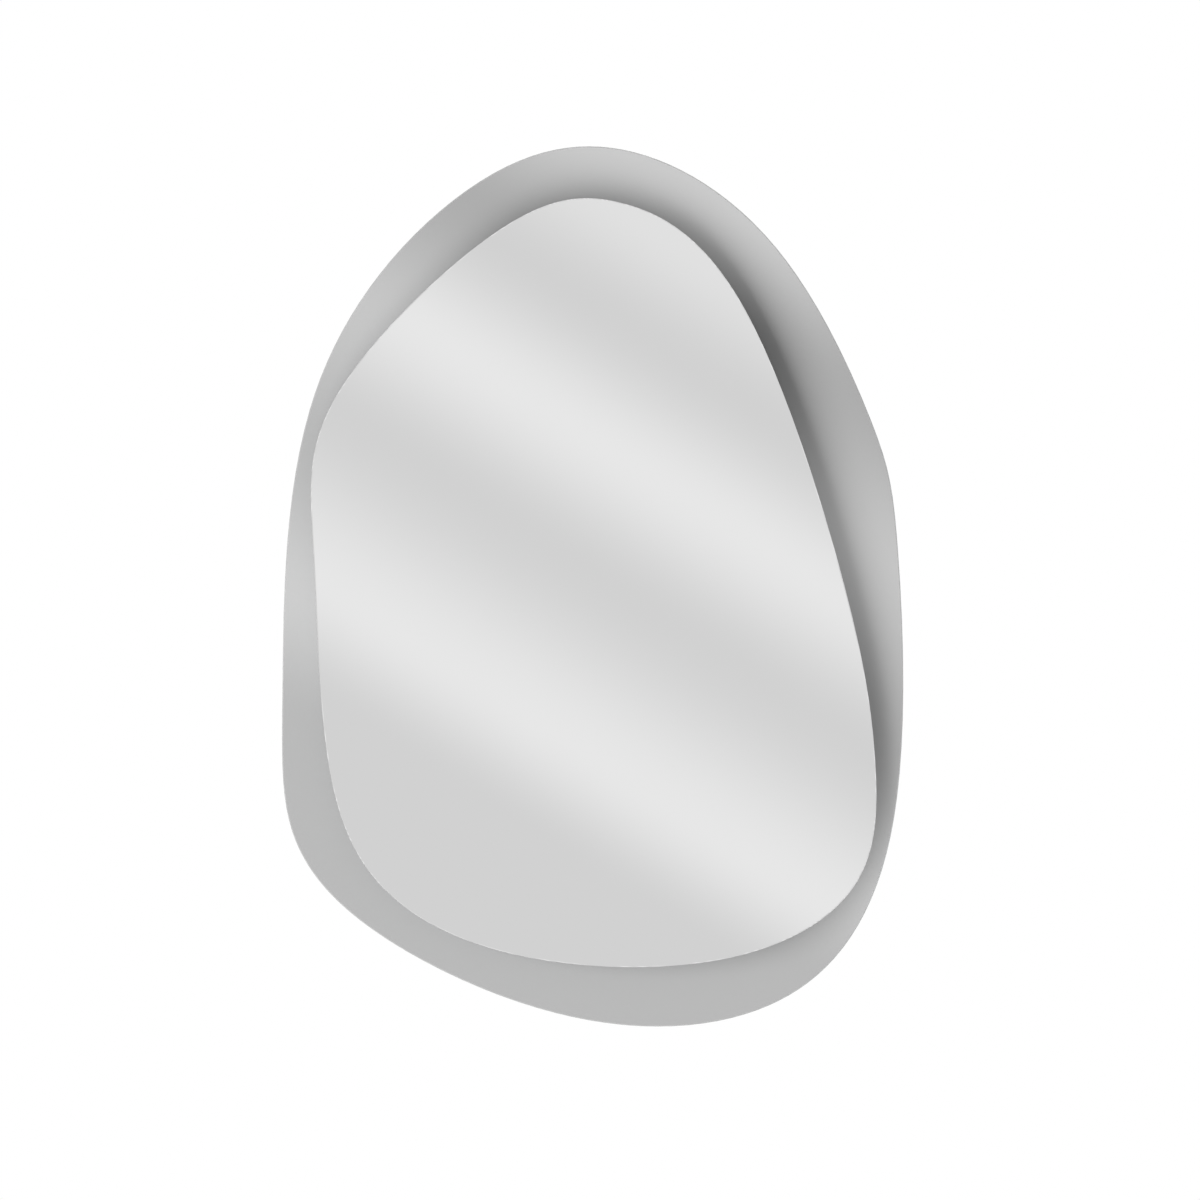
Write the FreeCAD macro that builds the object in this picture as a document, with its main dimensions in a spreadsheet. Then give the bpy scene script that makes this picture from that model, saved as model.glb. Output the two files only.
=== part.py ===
"""Layered wall mirror with two irregular panels, in millimetres.

A silver front mirror stands off a larger satin grey mirror. Both are frameless glass with a polished
arris, bonded to boards that stay out of sight behind them, and the whole mirror hangs on a two-part
hook rail. Local frame: the wall is the plane y = 0, the room is on the -Y side, +Z is up, and the
origin is the middle of the wall rail's row of screw holes, on the wall.
"""
import FreeCAD, Part
import math
import os

import Sketcher
from FreeCAD import Placement, Rotation, Vector

DOC = FreeCAD.newDocument("layered_wall_mirror")

# Driving sizes: alias, value in mm, and what it measures.
SIZES = [
    ("rear_width", 600, "rear panel, side to side"),
    ("rear_height", 850, "rear panel, top to bottom"),
    ("front_width", 545, "front panel, side to side"),
    ("front_height", 741, "front panel, top to bottom"),
    ("front_shift_x", 1, "front panel's centre, right of the rear panel's"),
    ("front_shift_z", 3, "front panel's centre, above the rear panel's"),
    ("rear_glass_thickness", 5, "satin grey float glass"),
    ("front_glass_thickness", 5, "silvered float glass"),
    ("glass_arris", 1, "polished bevel round both faces of each glass"),
    ("hang_height", 200, "wall rail's screw line above the rear panel's centre"),
    ("film_thickness", 0.3, "safety film on the back of each glass"),
    ("film_inset", 3, "from the glass edge to the film"),
    ("bond_thickness", 1, "foam tape and adhesive, pressed"),
    ("tape_width", 25, "foam mounting tape"),
    ("bead_width", 10, "mirror adhesive, pressed flat"),
    ("front_tape_spacing", 75, "between tape strips behind the front glass"),
    ("front_tape_margin", 125, "from the spacer board's ends to the tape's"),
    ("rear_tape_spacing", 130, "between tape strips behind the rear glass"),
    ("rear_bead_spacing", 80, "between the adhesive beads behind the rear glass"),
    ("rear_tape_margin", 145, "from the backing board's ends to the tape's"),
    ("spacer_tape_spacing", 70, "between tape strips behind the spacer board"),
    ("backing_thickness", 12, "backing board"),
    ("backing_inset", 40, "from the rear glass edge to the backing board"),
    ("spacer_thickness", 18, "spacer board"),
    ("spacer_inset", 55, "from the front glass edge to the spacer board"),
    ("board_edge", 1.5, "chamfer on the backing board's rear edge"),
    ("joint_spacing_x", 150, "between joining screws, side to side"),
    ("joint_spacing_z", 340, "between joining screws, up and down"),
    ("joint_screw_diameter", 6, "joining screw"),
    ("joint_head_diameter", 12, "its pan head"),
    ("joint_head_height", 3.6, "its pan head"),
    ("joint_recess_width", 3.8, "cross recess, across its arms"),
    ("washer_diameter", 13, "washer under a joining screw"),
    ("washer_thickness", 1.6, "washer under a joining screw"),
    ("counterbore_depth", 6, "sinks the joining screw's head into the backing board"),
    ("screw_room", 0.3, "between a screw and the hole it passes through"),
    ("washer_room", 0.5, "between the washer and its counterbore"),
    ("thread_play", 0.05, "between a screw and the hole that it bites in"),
    ("insert_diameter", 9, "brass insert in the spacer board"),
    ("insert_length", 10, "brass insert in the spacer board"),
    ("insert_hole_room", 1, "left below the insert"),
    ("bush_diameter", 10, "nylon bush's sleeve in the rear glass"),
    ("bush_play", 0.1, "between the bush and the drilled glass"),
    ("bush_flange_diameter", 16, "nylon bush's flange in front of the rear glass"),
    ("rail_thickness", 3, "aluminium of both rails"),
    ("rail_room", 1, "what a rail's groove has over the lip's thickness"),
    ("hook_play", 0.2, "between the two hooked lips"),
    ("rail_flange_height", 22, "flat part of a rail that the screws go through"),
    ("rail_lip_height", 14, "mirror rail's lip, below its web"),
    ("lip_top_room", 1, "wall rail's lip stops short of the mirror rail's web"),
    ("lip_lead_in", 0.8, "bevel on the tip of each lip"),
    ("wall_rail_length", 300, "wall rail"),
    ("mirror_rail_length", 360, "mirror rail"),
    ("wall_hole_diameter", 5.5, "wall rail's screw holes"),
    ("wall_hole_spacing", 80, "between the wall rail's screw holes"),
    ("rail_screw_spacing", 100, "between the mirror rail's screws"),
    ("wood_screw_diameter", 4, "screws in the rail and the bumpers"),
    ("wood_screw_length", 12, "below the head"),
    ("wood_head_diameter", 8, "pan head"),
    ("wood_head_height", 2.7, "pan head"),
    ("wood_recess_width", 2.6, "cross recess, across its arms"),
    ("recess_arm", 0.9, "width of a cross recess's arm"),
    ("recess_depth", 1.6, "cross recess"),
    ("bumper_diameter", 20, "rubber bumper"),
    ("bumper_spacing", 240, "between the two bumpers"),
    ("bumper_drop", 250, "from the rear panel's centre down to the bumpers"),
    ("bumper_floor", 2, "rubber left under the screw's washer"),
    ("bumper_recess_diameter", 12, "recess for the screw and its washer"),
    ("bumper_edge", 1.5, "round on the bumper's edge at the wall"),
    ("small_washer_diameter", 10, "washer in a bumper"),
    ("small_washer_thickness", 0.8, "washer in a bumper"),
]

# Each outline is a closed cubic B-spline on control points placed by eye, going round
# anticlockwise as seen from the room, for a panel of the pattern's size about its own centre.
REAR_PATTERN_SIZE = (600, 850)
REAR_PATTERN = [
    (295, 75), (282, 136), (190, 342), (32, 443), (-118, 409), (-298, 208),
    (-299, -120), (-304, -250), (-213, -346), (0, -440), (212, -418), (310, -252),
]
FRONT_PATTERN_SIZE = (545, 741)
FRONT_PATTERN = [
    (257, -39), (147, 312), (25, 377), (-75, 371), (-284, 168), (-268, 50),
    (-264, -191), (-213, -307), (-77, -371), (141, -376), (274, -300), (274, -172),
]

WALL_HOLE_COUNT = 4
RAIL_SCREW_COUNT = 4
BUMPER_COUNT = 2
JOINING_COLUMN_COUNT = 2
JOINING_ROW_COUNT = 2
TAPE_STRIP_COUNT = 3
SPACER_TAPE_STRIP_COUNT = 2
ADHESIVE_BEAD_COUNT = 2

SPLINE_DEGREE = 3
TOUCH = 1e-4

# Depths from the wall to the side nearer the wall of each layer, back to front.
GROOVE = "(sizes.rail_thickness + sizes.rail_room)"
BACKING_DEPTH = f"(2 * {GROOVE} - sizes.hook_play)"
REAR_BOND_DEPTH = f"({BACKING_DEPTH} + sizes.backing_thickness)"
REAR_FILM_DEPTH = f"({REAR_BOND_DEPTH} + sizes.bond_thickness)"
REAR_GLASS_DEPTH = f"({REAR_FILM_DEPTH} + sizes.film_thickness)"
SPACER_BOND_DEPTH = f"({REAR_GLASS_DEPTH} + sizes.rear_glass_thickness)"
SPACER_DEPTH = f"({SPACER_BOND_DEPTH} + sizes.bond_thickness)"
FRONT_BOND_DEPTH = f"({SPACER_DEPTH} + sizes.spacer_thickness)"
FRONT_FILM_DEPTH = f"({FRONT_BOND_DEPTH} + sizes.bond_thickness)"
FRONT_GLASS_DEPTH = f"({FRONT_FILM_DEPTH} + sizes.film_thickness)"

# Heights and places that several pieces share.
REAR_CENTRE_Z = "(0 - sizes.hang_height)"
FRONT_CENTRE_X = "sizes.front_shift_x"
FRONT_CENTRE_Z = f"({REAR_CENTRE_Z} + sizes.front_shift_z)"
WEB_TOP_Z = "(sizes.rail_flange_height / 2)"
MIRROR_WEB_Z = f"({WEB_TOP_Z} + sizes.rail_lip_height)"
RAIL_SCREW_Z = f"({MIRROR_WEB_Z} + (sizes.rail_thickness + sizes.rail_flange_height) / 2)"
BUMPER_Z = f"({REAR_CENTRE_Z} - sizes.bumper_drop)"
JOINT_HEAD_DEPTH = f"({BACKING_DEPTH} + sizes.counterbore_depth - sizes.washer_thickness)"
INSERT_END_DEPTH = f"({SPACER_DEPTH} + sizes.insert_length)"


def write_sheet(sizes):
    """Put the driving sizes in a spreadsheet, one row each: name, value, meaning."""
    sheet = DOC.addObject("Spreadsheet::Sheet", "sizes")
    for row, (alias, value, meaning) in enumerate(sizes, start=1):
        sheet.set(f"A{row}", meaning)
        sheet.set(f"B{row}", str(value))
        sheet.setAlias(f"B{row}", alias)
    DOC.recompute()
    return sheet


SHEET = write_sheet(SIZES)


def evaluate(expression):
    """The present value of an expression of the sheet, in mm."""
    return float(SHEET.evalExpression(expression))


def new_body(label, depth, x="0", z="0"):
    """An empty body whose own origin lies at a depth from the wall, and at x and z."""
    body = DOC.addObject("PartDesign::Body", label)
    body.Label = label
    body.AllowCompound = True
    body.setExpression("Placement.Base.x", f"0 + {x}")
    body.setExpression("Placement.Base.y", f"0 - {depth}")
    body.setExpression("Placement.Base.z", f"0 + {z}")
    return body


def new_sketch(body, name, plane="XZ_Plane", offset="0"):
    """A sketch on one of the body's own planes, moved along the plane's normal by an offset."""
    sketch = body.newObject("Sketcher::SketchObject", f"{body.Label}_{name}")
    support = [item for item in body.Origin.OriginFeatures if item.Role == plane]
    sketch.AttachmentSupport = [(support[0], "")]
    sketch.MapMode = "FlatFace"
    sketch.AttachmentOffset = Placement(Vector(0, 0, evaluate(offset)), Rotation())
    sketch.setExpression("AttachmentOffset.Base.z", f"0 + {offset}")
    return sketch


def bind(sketch, kind, place, expression):
    """Add a dimension of this kind at this place in the sketch, tied to an expression."""
    index = sketch.addConstraint(Sketcher.Constraint(kind, *place, evaluate(expression)))
    name = f"{kind}_{index}"
    sketch.renameConstraint(index, name)
    sketch.setExpression(f"Constraints.{name}", expression)


def bind_point(sketch, geometry, point, x, z):
    """Hold one point of a sketch's geometry at x and z from the sketch's origin."""
    bind(sketch, "DistanceX", (-1, 1, geometry, point), f"0 + {x}")
    bind(sketch, "DistanceY", (-1, 1, geometry, point), f"0 + {z}")


def draw_circle(sketch, x, z, diameter):
    """A circle held at x and z, with its diameter tied to an expression."""
    centre = Vector(evaluate(x), evaluate(z), 0)
    circle = sketch.addGeometry(Part.Circle(centre, Vector(0, 0, 1), evaluate(diameter) / 2))
    bind(sketch, "Diameter", (circle,), f"0 + {diameter}")
    bind_point(sketch, circle, 3, x, z)


def draw_polygon(sketch, corners):
    """A closed run of straight lines through corners given as pairs of expressions."""
    points = [Vector(evaluate(x), evaluate(z), 0) for x, z in corners]
    lines = []
    for start, end in zip(points, points[1:] + points[:1]):
        lines.append(sketch.addGeometry(Part.LineSegment(start, end)))
    for line, following in zip(lines, lines[1:] + lines[:1]):
        sketch.addConstraint(Sketcher.Constraint("Coincident", line, 2, following, 1))
    for line, (x, z) in zip(lines, corners):
        bind_point(sketch, line, 1, x, z)


def draw_rectangle(sketch, x, z, width, height):
    """A rectangle about a centre at x and z."""
    left, right = f"({x} - {width} / 2)", f"({x} + {width} / 2)"
    bottom, top = f"({z} - {height} / 2)", f"({z} + {height} / 2)"
    draw_polygon(sketch, [(left, bottom), (right, bottom), (right, top), (left, top)])


def outward_normals(pattern):
    """Unit vectors that point out of the pattern at each of its control points."""
    normals = []
    for before, after in zip(pattern[-1:] + pattern[:-1], pattern[1:] + pattern[:1]):
        along_x, along_z = after[0] - before[0], after[1] - before[1]
        length = math.hypot(along_x, along_z)
        normals.append((along_z / length, -along_x / length))
    return normals


def draw_outline(sketch, pattern, pattern_size, width, height, inset="0"):
    """A panel's closed outline, scaled to a width and height and drawn in by an inset.

    The control points move in by the inset, and the curve itself by about 95% of it.
    """
    places = []
    for (x, z), (out_x, out_z) in zip(pattern, outward_normals(pattern)):
        place_x = f"({x} * {width} / {pattern_size[0]} - {out_x:.3f} * {inset})"
        place_z = f"({z} * {height} / {pattern_size[1]} - {out_z:.3f} * {inset})"
        places.append((place_x, place_z))
    count = len(places)
    poles = [Vector(evaluate(x), evaluate(z), 0) for x, z in places]
    spline = Part.BSplineCurve()
    knots = [float(knot) for knot in range(count + 1)]
    spline.buildFromPolesMultsKnots(poles, [1] * (count + 1), knots, True, SPLINE_DEGREE)
    curve = sketch.addGeometry(spline)
    sketch.exposeInternalGeometry(curve)
    for number, (x, z) in enumerate(places, start=1):
        bind_point(sketch, curve + number, 3, x, z)


def draw_rear_outline(sketch, inset="0"):
    """The rear panel's outline about its own centre."""
    size = ("sizes.rear_width", "sizes.rear_height")
    draw_outline(sketch, REAR_PATTERN, REAR_PATTERN_SIZE, *size, inset)


def draw_front_outline(sketch, inset="0"):
    """The front panel's outline about its own centre."""
    size = ("sizes.front_width", "sizes.front_height")
    draw_outline(sketch, FRONT_PATTERN, FRONT_PATTERN_SIZE, *size, inset)


def pad(body, sketch, length, symmetric=False, towards_room=True):
    """Raise a sketch into a solid, to one side of the sketch or evenly to both."""
    feature = body.newObject("PartDesign::Pad", f"{sketch.Name}_pad")
    feature.Profile = sketch
    feature.SideType = "Symmetric" if symmetric else "One side"
    feature.Reversed = not towards_room
    feature.setExpression("Length", f"0 + {length}")
    DOC.recompute()
    return feature


def pocket(body, sketch, depth, towards_room=True):
    """Cut a sketch into a solid, and make sure that it meets material."""
    material = body.Tip.Shape
    feature = body.newObject("PartDesign::Pocket", f"{sketch.Name}_pocket")
    feature.Profile = sketch
    feature.Reversed = towards_room
    feature.setExpression("Length", f"0 + {depth}")
    DOC.recompute()
    tool = feature.AddSubShape.copy()
    tool.Placement = feature.Placement * tool.Placement
    if material.common(tool).Volume < TOUCH:
        raise RuntimeError(f"{feature.Name} cuts nothing")
    return feature


def edges_at(feature, y):
    """Names of a feature's edges that lie in a plane of constant y, in the body's own frame."""
    names = []
    for number, edge in enumerate(feature.Shape.Edges, start=1):
        box = edge.BoundBox
        if abs(box.YMin - y) < TOUCH and abs(box.YMax - y) < TOUCH:
            names.append(f"Edge{number}")
    return names


def widest_edges_at(feature, y):
    """Like edges_at, but only the outer edge of the face, not its holes."""
    edges = feature.Shape.Edges
    names = edges_at(feature, y)
    lengths = {name: edges[int(name[4:]) - 1].Length for name in names}
    longest = max(lengths.values())
    return [name for name in names if lengths[name] > longest * (1 - TOUCH)]


def chamfer(body, feature, edges, size):
    """Bevel some edges of a feature."""
    bevel = body.newObject("PartDesign::Chamfer", f"{feature.Name}_chamfer")
    bevel.Base = (feature, edges)
    bevel.setExpression("Size", f"0 + {size}")
    DOC.recompute()
    return bevel


def fillet(body, feature, edges, radius):
    """Round some edges of a feature."""
    rounded = body.newObject("PartDesign::Fillet", f"{feature.Name}_fillet")
    rounded.Base = (feature, edges)
    rounded.setExpression("Radius", f"0 + {radius}")
    DOC.recompute()
    return rounded


def row(count, spacing):
    """Places evenly spaced about 0, as expressions."""
    return [f"({number - (count - 1) / 2} * {spacing})" for number in range(count)]


def joining_places():
    """Where the four joining screws go, from the rear panel's centre."""
    columns = row(JOINING_COLUMN_COUNT, "sizes.joint_spacing_x")
    levels = row(JOINING_ROW_COUNT, "sizes.joint_spacing_z")
    return [(x, z) for z in levels for x in columns]


def rail_screw_places(line="0"):
    """Where the mirror rail's screws go, on a line at a height."""
    return [(x, line) for x in row(RAIL_SCREW_COUNT, "sizes.rail_screw_spacing")]


def bumper_places(line="0"):
    """Where the two bumpers go, on a line at a height."""
    return [(x, line) for x in row(BUMPER_COUNT, "sizes.bumper_spacing")]


def draw_circles(sketch, places, diameter):
    """The same circle at each place."""
    for x, z in places:
        draw_circle(sketch, x, z, diameter)


# --- glass and film -------------------------------------------------------------------------


def polish_arris(body, plate, thickness):
    """Bevel both faces' outer edges of a sheet of glass, as the edge grinder leaves them."""
    edges = widest_edges_at(plate, 0) + widest_edges_at(plate, -evaluate(thickness))
    return chamfer(body, plate, edges, "sizes.glass_arris")


def make_front_glass():
    """The silvered front mirror."""
    body = new_body("front_mirror_glass", FRONT_GLASS_DEPTH, FRONT_CENTRE_X, FRONT_CENTRE_Z)
    outline = new_sketch(body, "outline")
    draw_front_outline(outline)
    plate = pad(body, outline, "sizes.front_glass_thickness")
    polish_arris(body, plate, "sizes.front_glass_thickness")


def make_front_film():
    """Safety film on the back of the front mirror."""
    body = new_body("front_safety_film", FRONT_FILM_DEPTH, FRONT_CENTRE_X, FRONT_CENTRE_Z)
    outline = new_sketch(body, "outline")
    draw_front_outline(outline, "sizes.film_inset")
    pad(body, outline, "sizes.film_thickness")


def make_rear_glass():
    """The satin grey rear mirror, drilled for the four bushes."""
    body = new_body("rear_mirror_glass", REAR_GLASS_DEPTH, z=REAR_CENTRE_Z)
    outline = new_sketch(body, "outline")
    draw_rear_outline(outline)
    plate = pad(body, outline, "sizes.rear_glass_thickness")
    polish_arris(body, plate, "sizes.rear_glass_thickness")
    holes = new_sketch(body, "holes")
    draw_circles(holes, joining_places(), "(sizes.bush_diameter + 2 * sizes.bush_play)")
    pocket(body, holes, "sizes.rear_glass_thickness")


def make_rear_film():
    """Safety film on the back of the rear mirror, with the same four holes."""
    body = new_body("rear_safety_film", REAR_FILM_DEPTH, z=REAR_CENTRE_Z)
    outline = new_sketch(body, "outline")
    draw_rear_outline(outline, "sizes.film_inset")
    draw_circles(outline, joining_places(), "(sizes.bush_diameter + 2 * sizes.bush_play)")
    pad(body, outline, "sizes.film_thickness")


# --- boards ---------------------------------------------------------------------------------


def make_backing_board():
    """The board behind the rear mirror, which carries the rail and the bumpers."""
    body = new_body("backing_board", BACKING_DEPTH, z=REAR_CENTRE_Z)
    outline = new_sketch(body, "outline")
    draw_rear_outline(outline, "sizes.backing_inset")
    plate = pad(body, outline, "sizes.backing_thickness")
    chamfer(body, plate, widest_edges_at(plate, 0), "sizes.board_edge")

    passages = new_sketch(body, "screw_passages")
    draw_circles(passages, joining_places(), "(sizes.joint_screw_diameter + 2 * sizes.screw_room)")
    pocket(body, passages, "sizes.backing_thickness")

    counterbores = new_sketch(body, "counterbores")
    draw_circles(counterbores, joining_places(), "(sizes.washer_diameter + 2 * sizes.washer_room)")
    pocket(body, counterbores, "sizes.counterbore_depth")

    pilot_diameter = "(sizes.wood_screw_diameter + 2 * sizes.thread_play)"
    rail_line = f"({RAIL_SCREW_Z} - {REAR_CENTRE_Z})"
    rail_pilots = new_sketch(body, "rail_pilot_holes")
    draw_circles(rail_pilots, rail_screw_places(rail_line), pilot_diameter)
    pocket(body, rail_pilots, "(sizes.wood_screw_length - sizes.rail_thickness + sizes.thread_play)")

    bumper_pilots = new_sketch(body, "bumper_pilot_holes")
    draw_circles(bumper_pilots, bumper_places("(0 - sizes.bumper_drop)"), pilot_diameter)
    grip = "(sizes.wood_screw_length - sizes.bumper_floor - sizes.small_washer_thickness)"
    pocket(body, bumper_pilots, f"({grip} + sizes.thread_play)")


def make_spacer_board():
    """The board that holds the front mirror off the rear one, with blind holes for its inserts."""
    body = new_body("spacer_board", SPACER_DEPTH, FRONT_CENTRE_X, FRONT_CENTRE_Z)
    outline = new_sketch(body, "outline")
    draw_front_outline(outline, "sizes.spacer_inset")
    pad(body, outline, "sizes.spacer_thickness")

    insert_holes = new_sketch(body, "insert_holes")
    for x, z in joining_places():
        place = (f"({x} - sizes.front_shift_x)", f"({z} - sizes.front_shift_z)")
        draw_circle(insert_holes, *place, "sizes.insert_diameter")
    pocket(body, insert_holes, "(sizes.insert_length + sizes.insert_hole_room)")


# --- foam tape and adhesive -----------------------------------------------------------------


def make_strips(label, depth, centre, columns, width, height):
    """Upright strips of one width, side by side between two layers."""
    body = new_body(label, depth, *centre)
    strips = new_sketch(body, "strips")
    for x in columns:
        draw_rectangle(strips, x, "0", width, height)
    pad(body, strips, "sizes.bond_thickness")


def make_bonding():
    """Tape that grabs at once, and adhesive beside it that cures, behind each glass."""
    front = (FRONT_CENTRE_X, FRONT_CENTRE_Z)
    rear = ("0", REAR_CENTRE_Z)
    front_length = "(sizes.front_height - 2 * (sizes.spacer_inset + sizes.front_tape_margin))"
    rear_length = "(sizes.rear_height - 2 * (sizes.backing_inset + sizes.rear_tape_margin))"
    tape, bead = "sizes.tape_width", "sizes.bead_width"
    front_tapes = row(TAPE_STRIP_COUNT, "sizes.front_tape_spacing")
    front_beads = row(ADHESIVE_BEAD_COUNT, "sizes.front_tape_spacing")
    rear_tapes = row(TAPE_STRIP_COUNT, "sizes.rear_tape_spacing")
    rear_beads = row(ADHESIVE_BEAD_COUNT, "sizes.rear_bead_spacing")
    spacer_tapes = row(SPACER_TAPE_STRIP_COUNT, "sizes.spacer_tape_spacing")
    make_strips("front_foam_tape", FRONT_BOND_DEPTH, front, front_tapes, tape, front_length)
    make_strips("front_adhesive_beads", FRONT_BOND_DEPTH, front, front_beads, bead, front_length)
    make_strips("rear_foam_tape", REAR_BOND_DEPTH, rear, rear_tapes, tape, rear_length)
    make_strips("rear_adhesive_beads", REAR_BOND_DEPTH, rear, rear_beads, bead, rear_length)
    make_strips("spacer_foam_tape", SPACER_BOND_DEPTH, front, spacer_tapes, tape, front_length)


# --- what joins the two panels --------------------------------------------------------------


def make_rings(label, depth, z, places, outer, inner, thickness):
    """Flat rings, one at each place."""
    body = new_body(label, depth, z=z)
    rings = new_sketch(body, "rings")
    draw_circles(rings, places, outer)
    draw_circles(rings, places, inner)
    pad(body, rings, thickness)


def make_screws(label, depth, z, places, size, length):
    """Pan head screws driven towards the room, from the underside of their heads at a depth."""
    diameter, head_diameter, head_height, recess_width = size
    body = new_body(label, depth, z=z)
    shanks = new_sketch(body, "shanks")
    draw_circles(shanks, places, diameter)
    pad(body, shanks, length)
    heads = new_sketch(body, "heads", offset=f"(0 - {head_height})")
    draw_circles(heads, places, head_diameter)
    raised = pad(body, heads, head_height)
    dome = f"({head_height} / 2)"
    domed = fillet(body, raised, edges_at(raised, evaluate(head_height)), dome)
    tip = edges_at(domed, -evaluate(length))
    chamfer(body, domed, tip, f"({diameter} / 6)")
    recess = new_sketch(body, "cross_recess", offset=f"(0 - {head_height})")
    for x, z_place in places:
        draw_cross(recess, x, z_place, recess_width, "sizes.recess_arm")
    pocket(body, recess, "sizes.recess_depth")


def draw_cross(sketch, x, z, span, arm):
    """A plus sign with square ends, about a centre at x and z."""
    far, near = f"{span} / 2", f"{arm} / 2"
    corners = [
        (far, near), (near, near), (near, far), (f"0 - {near}", far),
        (f"0 - {near}", near), (f"0 - {far}", near), (f"0 - {far}", f"0 - {near}"),
        (f"0 - {near}", f"0 - {near}"), (f"0 - {near}", f"0 - {far}"), (near, f"0 - {far}"),
        (near, f"0 - {near}"), (far, f"0 - {near}"),
    ]
    draw_polygon(sketch, [(f"({x} + {right})", f"({z} + {up})") for right, up in corners])


def make_glass_bushes():
    """Nylon bushes that keep the joining screws off the glass and hold the panels apart."""
    bore = "(sizes.joint_screw_diameter + 2 * sizes.screw_room)"
    body = new_body("glass_bushes", REAR_BOND_DEPTH, z=REAR_CENTRE_Z)
    sleeves = new_sketch(body, "sleeves")
    draw_circles(sleeves, joining_places(), "sizes.bush_diameter")
    draw_circles(sleeves, joining_places(), bore)
    flange_depth = f"({SPACER_BOND_DEPTH} - {REAR_BOND_DEPTH})"
    pad(body, sleeves, flange_depth)
    flanges = new_sketch(body, "flanges", offset=flange_depth)
    draw_circles(flanges, joining_places(), "sizes.bush_flange_diameter")
    draw_circles(flanges, joining_places(), bore)
    pad(body, flanges, "sizes.bond_thickness")


def make_joining_hardware():
    """Screws, washers, bushes and inserts that clamp the spacer board to the backing board."""
    places = joining_places()
    make_glass_bushes()
    screw_hole = "(sizes.joint_screw_diameter + 2 * sizes.screw_room)"
    make_rings(
        "joining_washers", JOINT_HEAD_DEPTH, REAR_CENTRE_Z, places,
        "sizes.washer_diameter", screw_hole, "sizes.washer_thickness",
    )
    thread_hole = "(sizes.joint_screw_diameter + 2 * sizes.thread_play)"
    make_rings(
        "threaded_inserts", SPACER_DEPTH, REAR_CENTRE_Z, places,
        "sizes.insert_diameter", thread_hole, "sizes.insert_length",
    )
    screw = (
        "sizes.joint_screw_diameter", "sizes.joint_head_diameter",
        "sizes.joint_head_height", "sizes.joint_recess_width",
    )
    length = f"({INSERT_END_DEPTH} - {JOINT_HEAD_DEPTH})"
    make_screws("joining_screws", JOINT_HEAD_DEPTH, REAR_CENTRE_Z, places, screw, length)


# --- hook rail ------------------------------------------------------------------------------


def make_wall_rail():
    """The rail on the wall: a flange, a web that steps off the wall, and a lip that points up."""
    body = new_body("wall_rail", "0")
    profile = new_sketch(body, "profile", plane="YZ_Plane")
    flange_bottom = f"(0 - {WEB_TOP_Z})"
    flange_face = "(0 - sizes.rail_thickness)"
    web_bottom = f"({WEB_TOP_Z} - sizes.rail_thickness)"
    lip_back = f"(0 - {GROOVE})"
    lip_face = f"(0 - {GROOVE} - sizes.rail_thickness)"
    lip_top = f"({WEB_TOP_Z} + sizes.rail_lip_height - sizes.lip_top_room)"
    lead_in = "sizes.lip_lead_in"
    draw_polygon(profile, [
        ("0", flange_bottom), ("0", WEB_TOP_Z), (lip_back, WEB_TOP_Z),
        (lip_back, f"({lip_top} - {lead_in})"), (f"({lip_back} - {lead_in})", lip_top),
        (f"({lip_face} + {lead_in})", lip_top), (lip_face, f"({lip_top} - {lead_in})"),
        (lip_face, web_bottom), (flange_face, web_bottom), (flange_face, flange_bottom),
    ])
    pad(body, profile, "sizes.wall_rail_length", symmetric=True)
    holes = new_sketch(body, "screw_holes")
    places = [(x, "0") for x in row(WALL_HOLE_COUNT, "sizes.wall_hole_spacing")]
    draw_circles(holes, places, "sizes.wall_hole_diameter")
    pocket(body, holes, "sizes.rail_thickness")


def make_mirror_rail():
    """The rail on the backing board: the same section, turned over, with a lip that points down."""
    body = new_body("mirror_rail", BACKING_DEPTH, z=MIRROR_WEB_Z)
    profile = new_sketch(body, "profile", plane="YZ_Plane")
    flange_face = "sizes.rail_thickness"
    flange_top = "(sizes.rail_thickness + sizes.rail_flange_height)"
    web_top = "sizes.rail_thickness"
    lip_face = GROOVE
    lip_back = f"({GROOVE} + sizes.rail_thickness)"
    lip_bottom = "(0 - sizes.rail_lip_height)"
    lead_in = "sizes.lip_lead_in"
    draw_polygon(profile, [
        ("0", "0"), (lip_face, "0"), (lip_face, f"({lip_bottom} + {lead_in})"),
        (f"({lip_face} + {lead_in})", lip_bottom), (f"({lip_back} - {lead_in})", lip_bottom),
        (lip_back, f"({lip_bottom} + {lead_in})"), (lip_back, web_top),
        (flange_face, web_top), (flange_face, flange_top), ("0", flange_top),
    ])
    pad(body, profile, "sizes.mirror_rail_length", symmetric=True)
    holes = new_sketch(body, "screw_holes")
    line = f"({RAIL_SCREW_Z} - {MIRROR_WEB_Z})"
    diameter = "(sizes.wood_screw_diameter + 2 * sizes.screw_room)"
    draw_circles(holes, rail_screw_places(line), diameter)
    pocket(body, holes, "sizes.rail_thickness", towards_room=False)


def wood_screw():
    """The sizes of the small pan head screws."""
    return (
        "sizes.wood_screw_diameter", "sizes.wood_head_diameter",
        "sizes.wood_head_height", "sizes.wood_recess_width",
    )


def make_mirror_rail_screws():
    """Four screws through the mirror rail into the backing board."""
    depth = f"({BACKING_DEPTH} - sizes.rail_thickness)"
    length = "sizes.wood_screw_length"
    make_screws("mirror_rail_screws", depth, RAIL_SCREW_Z, rail_screw_places(), wood_screw(), length)


# --- lower bumpers --------------------------------------------------------------------------


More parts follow.
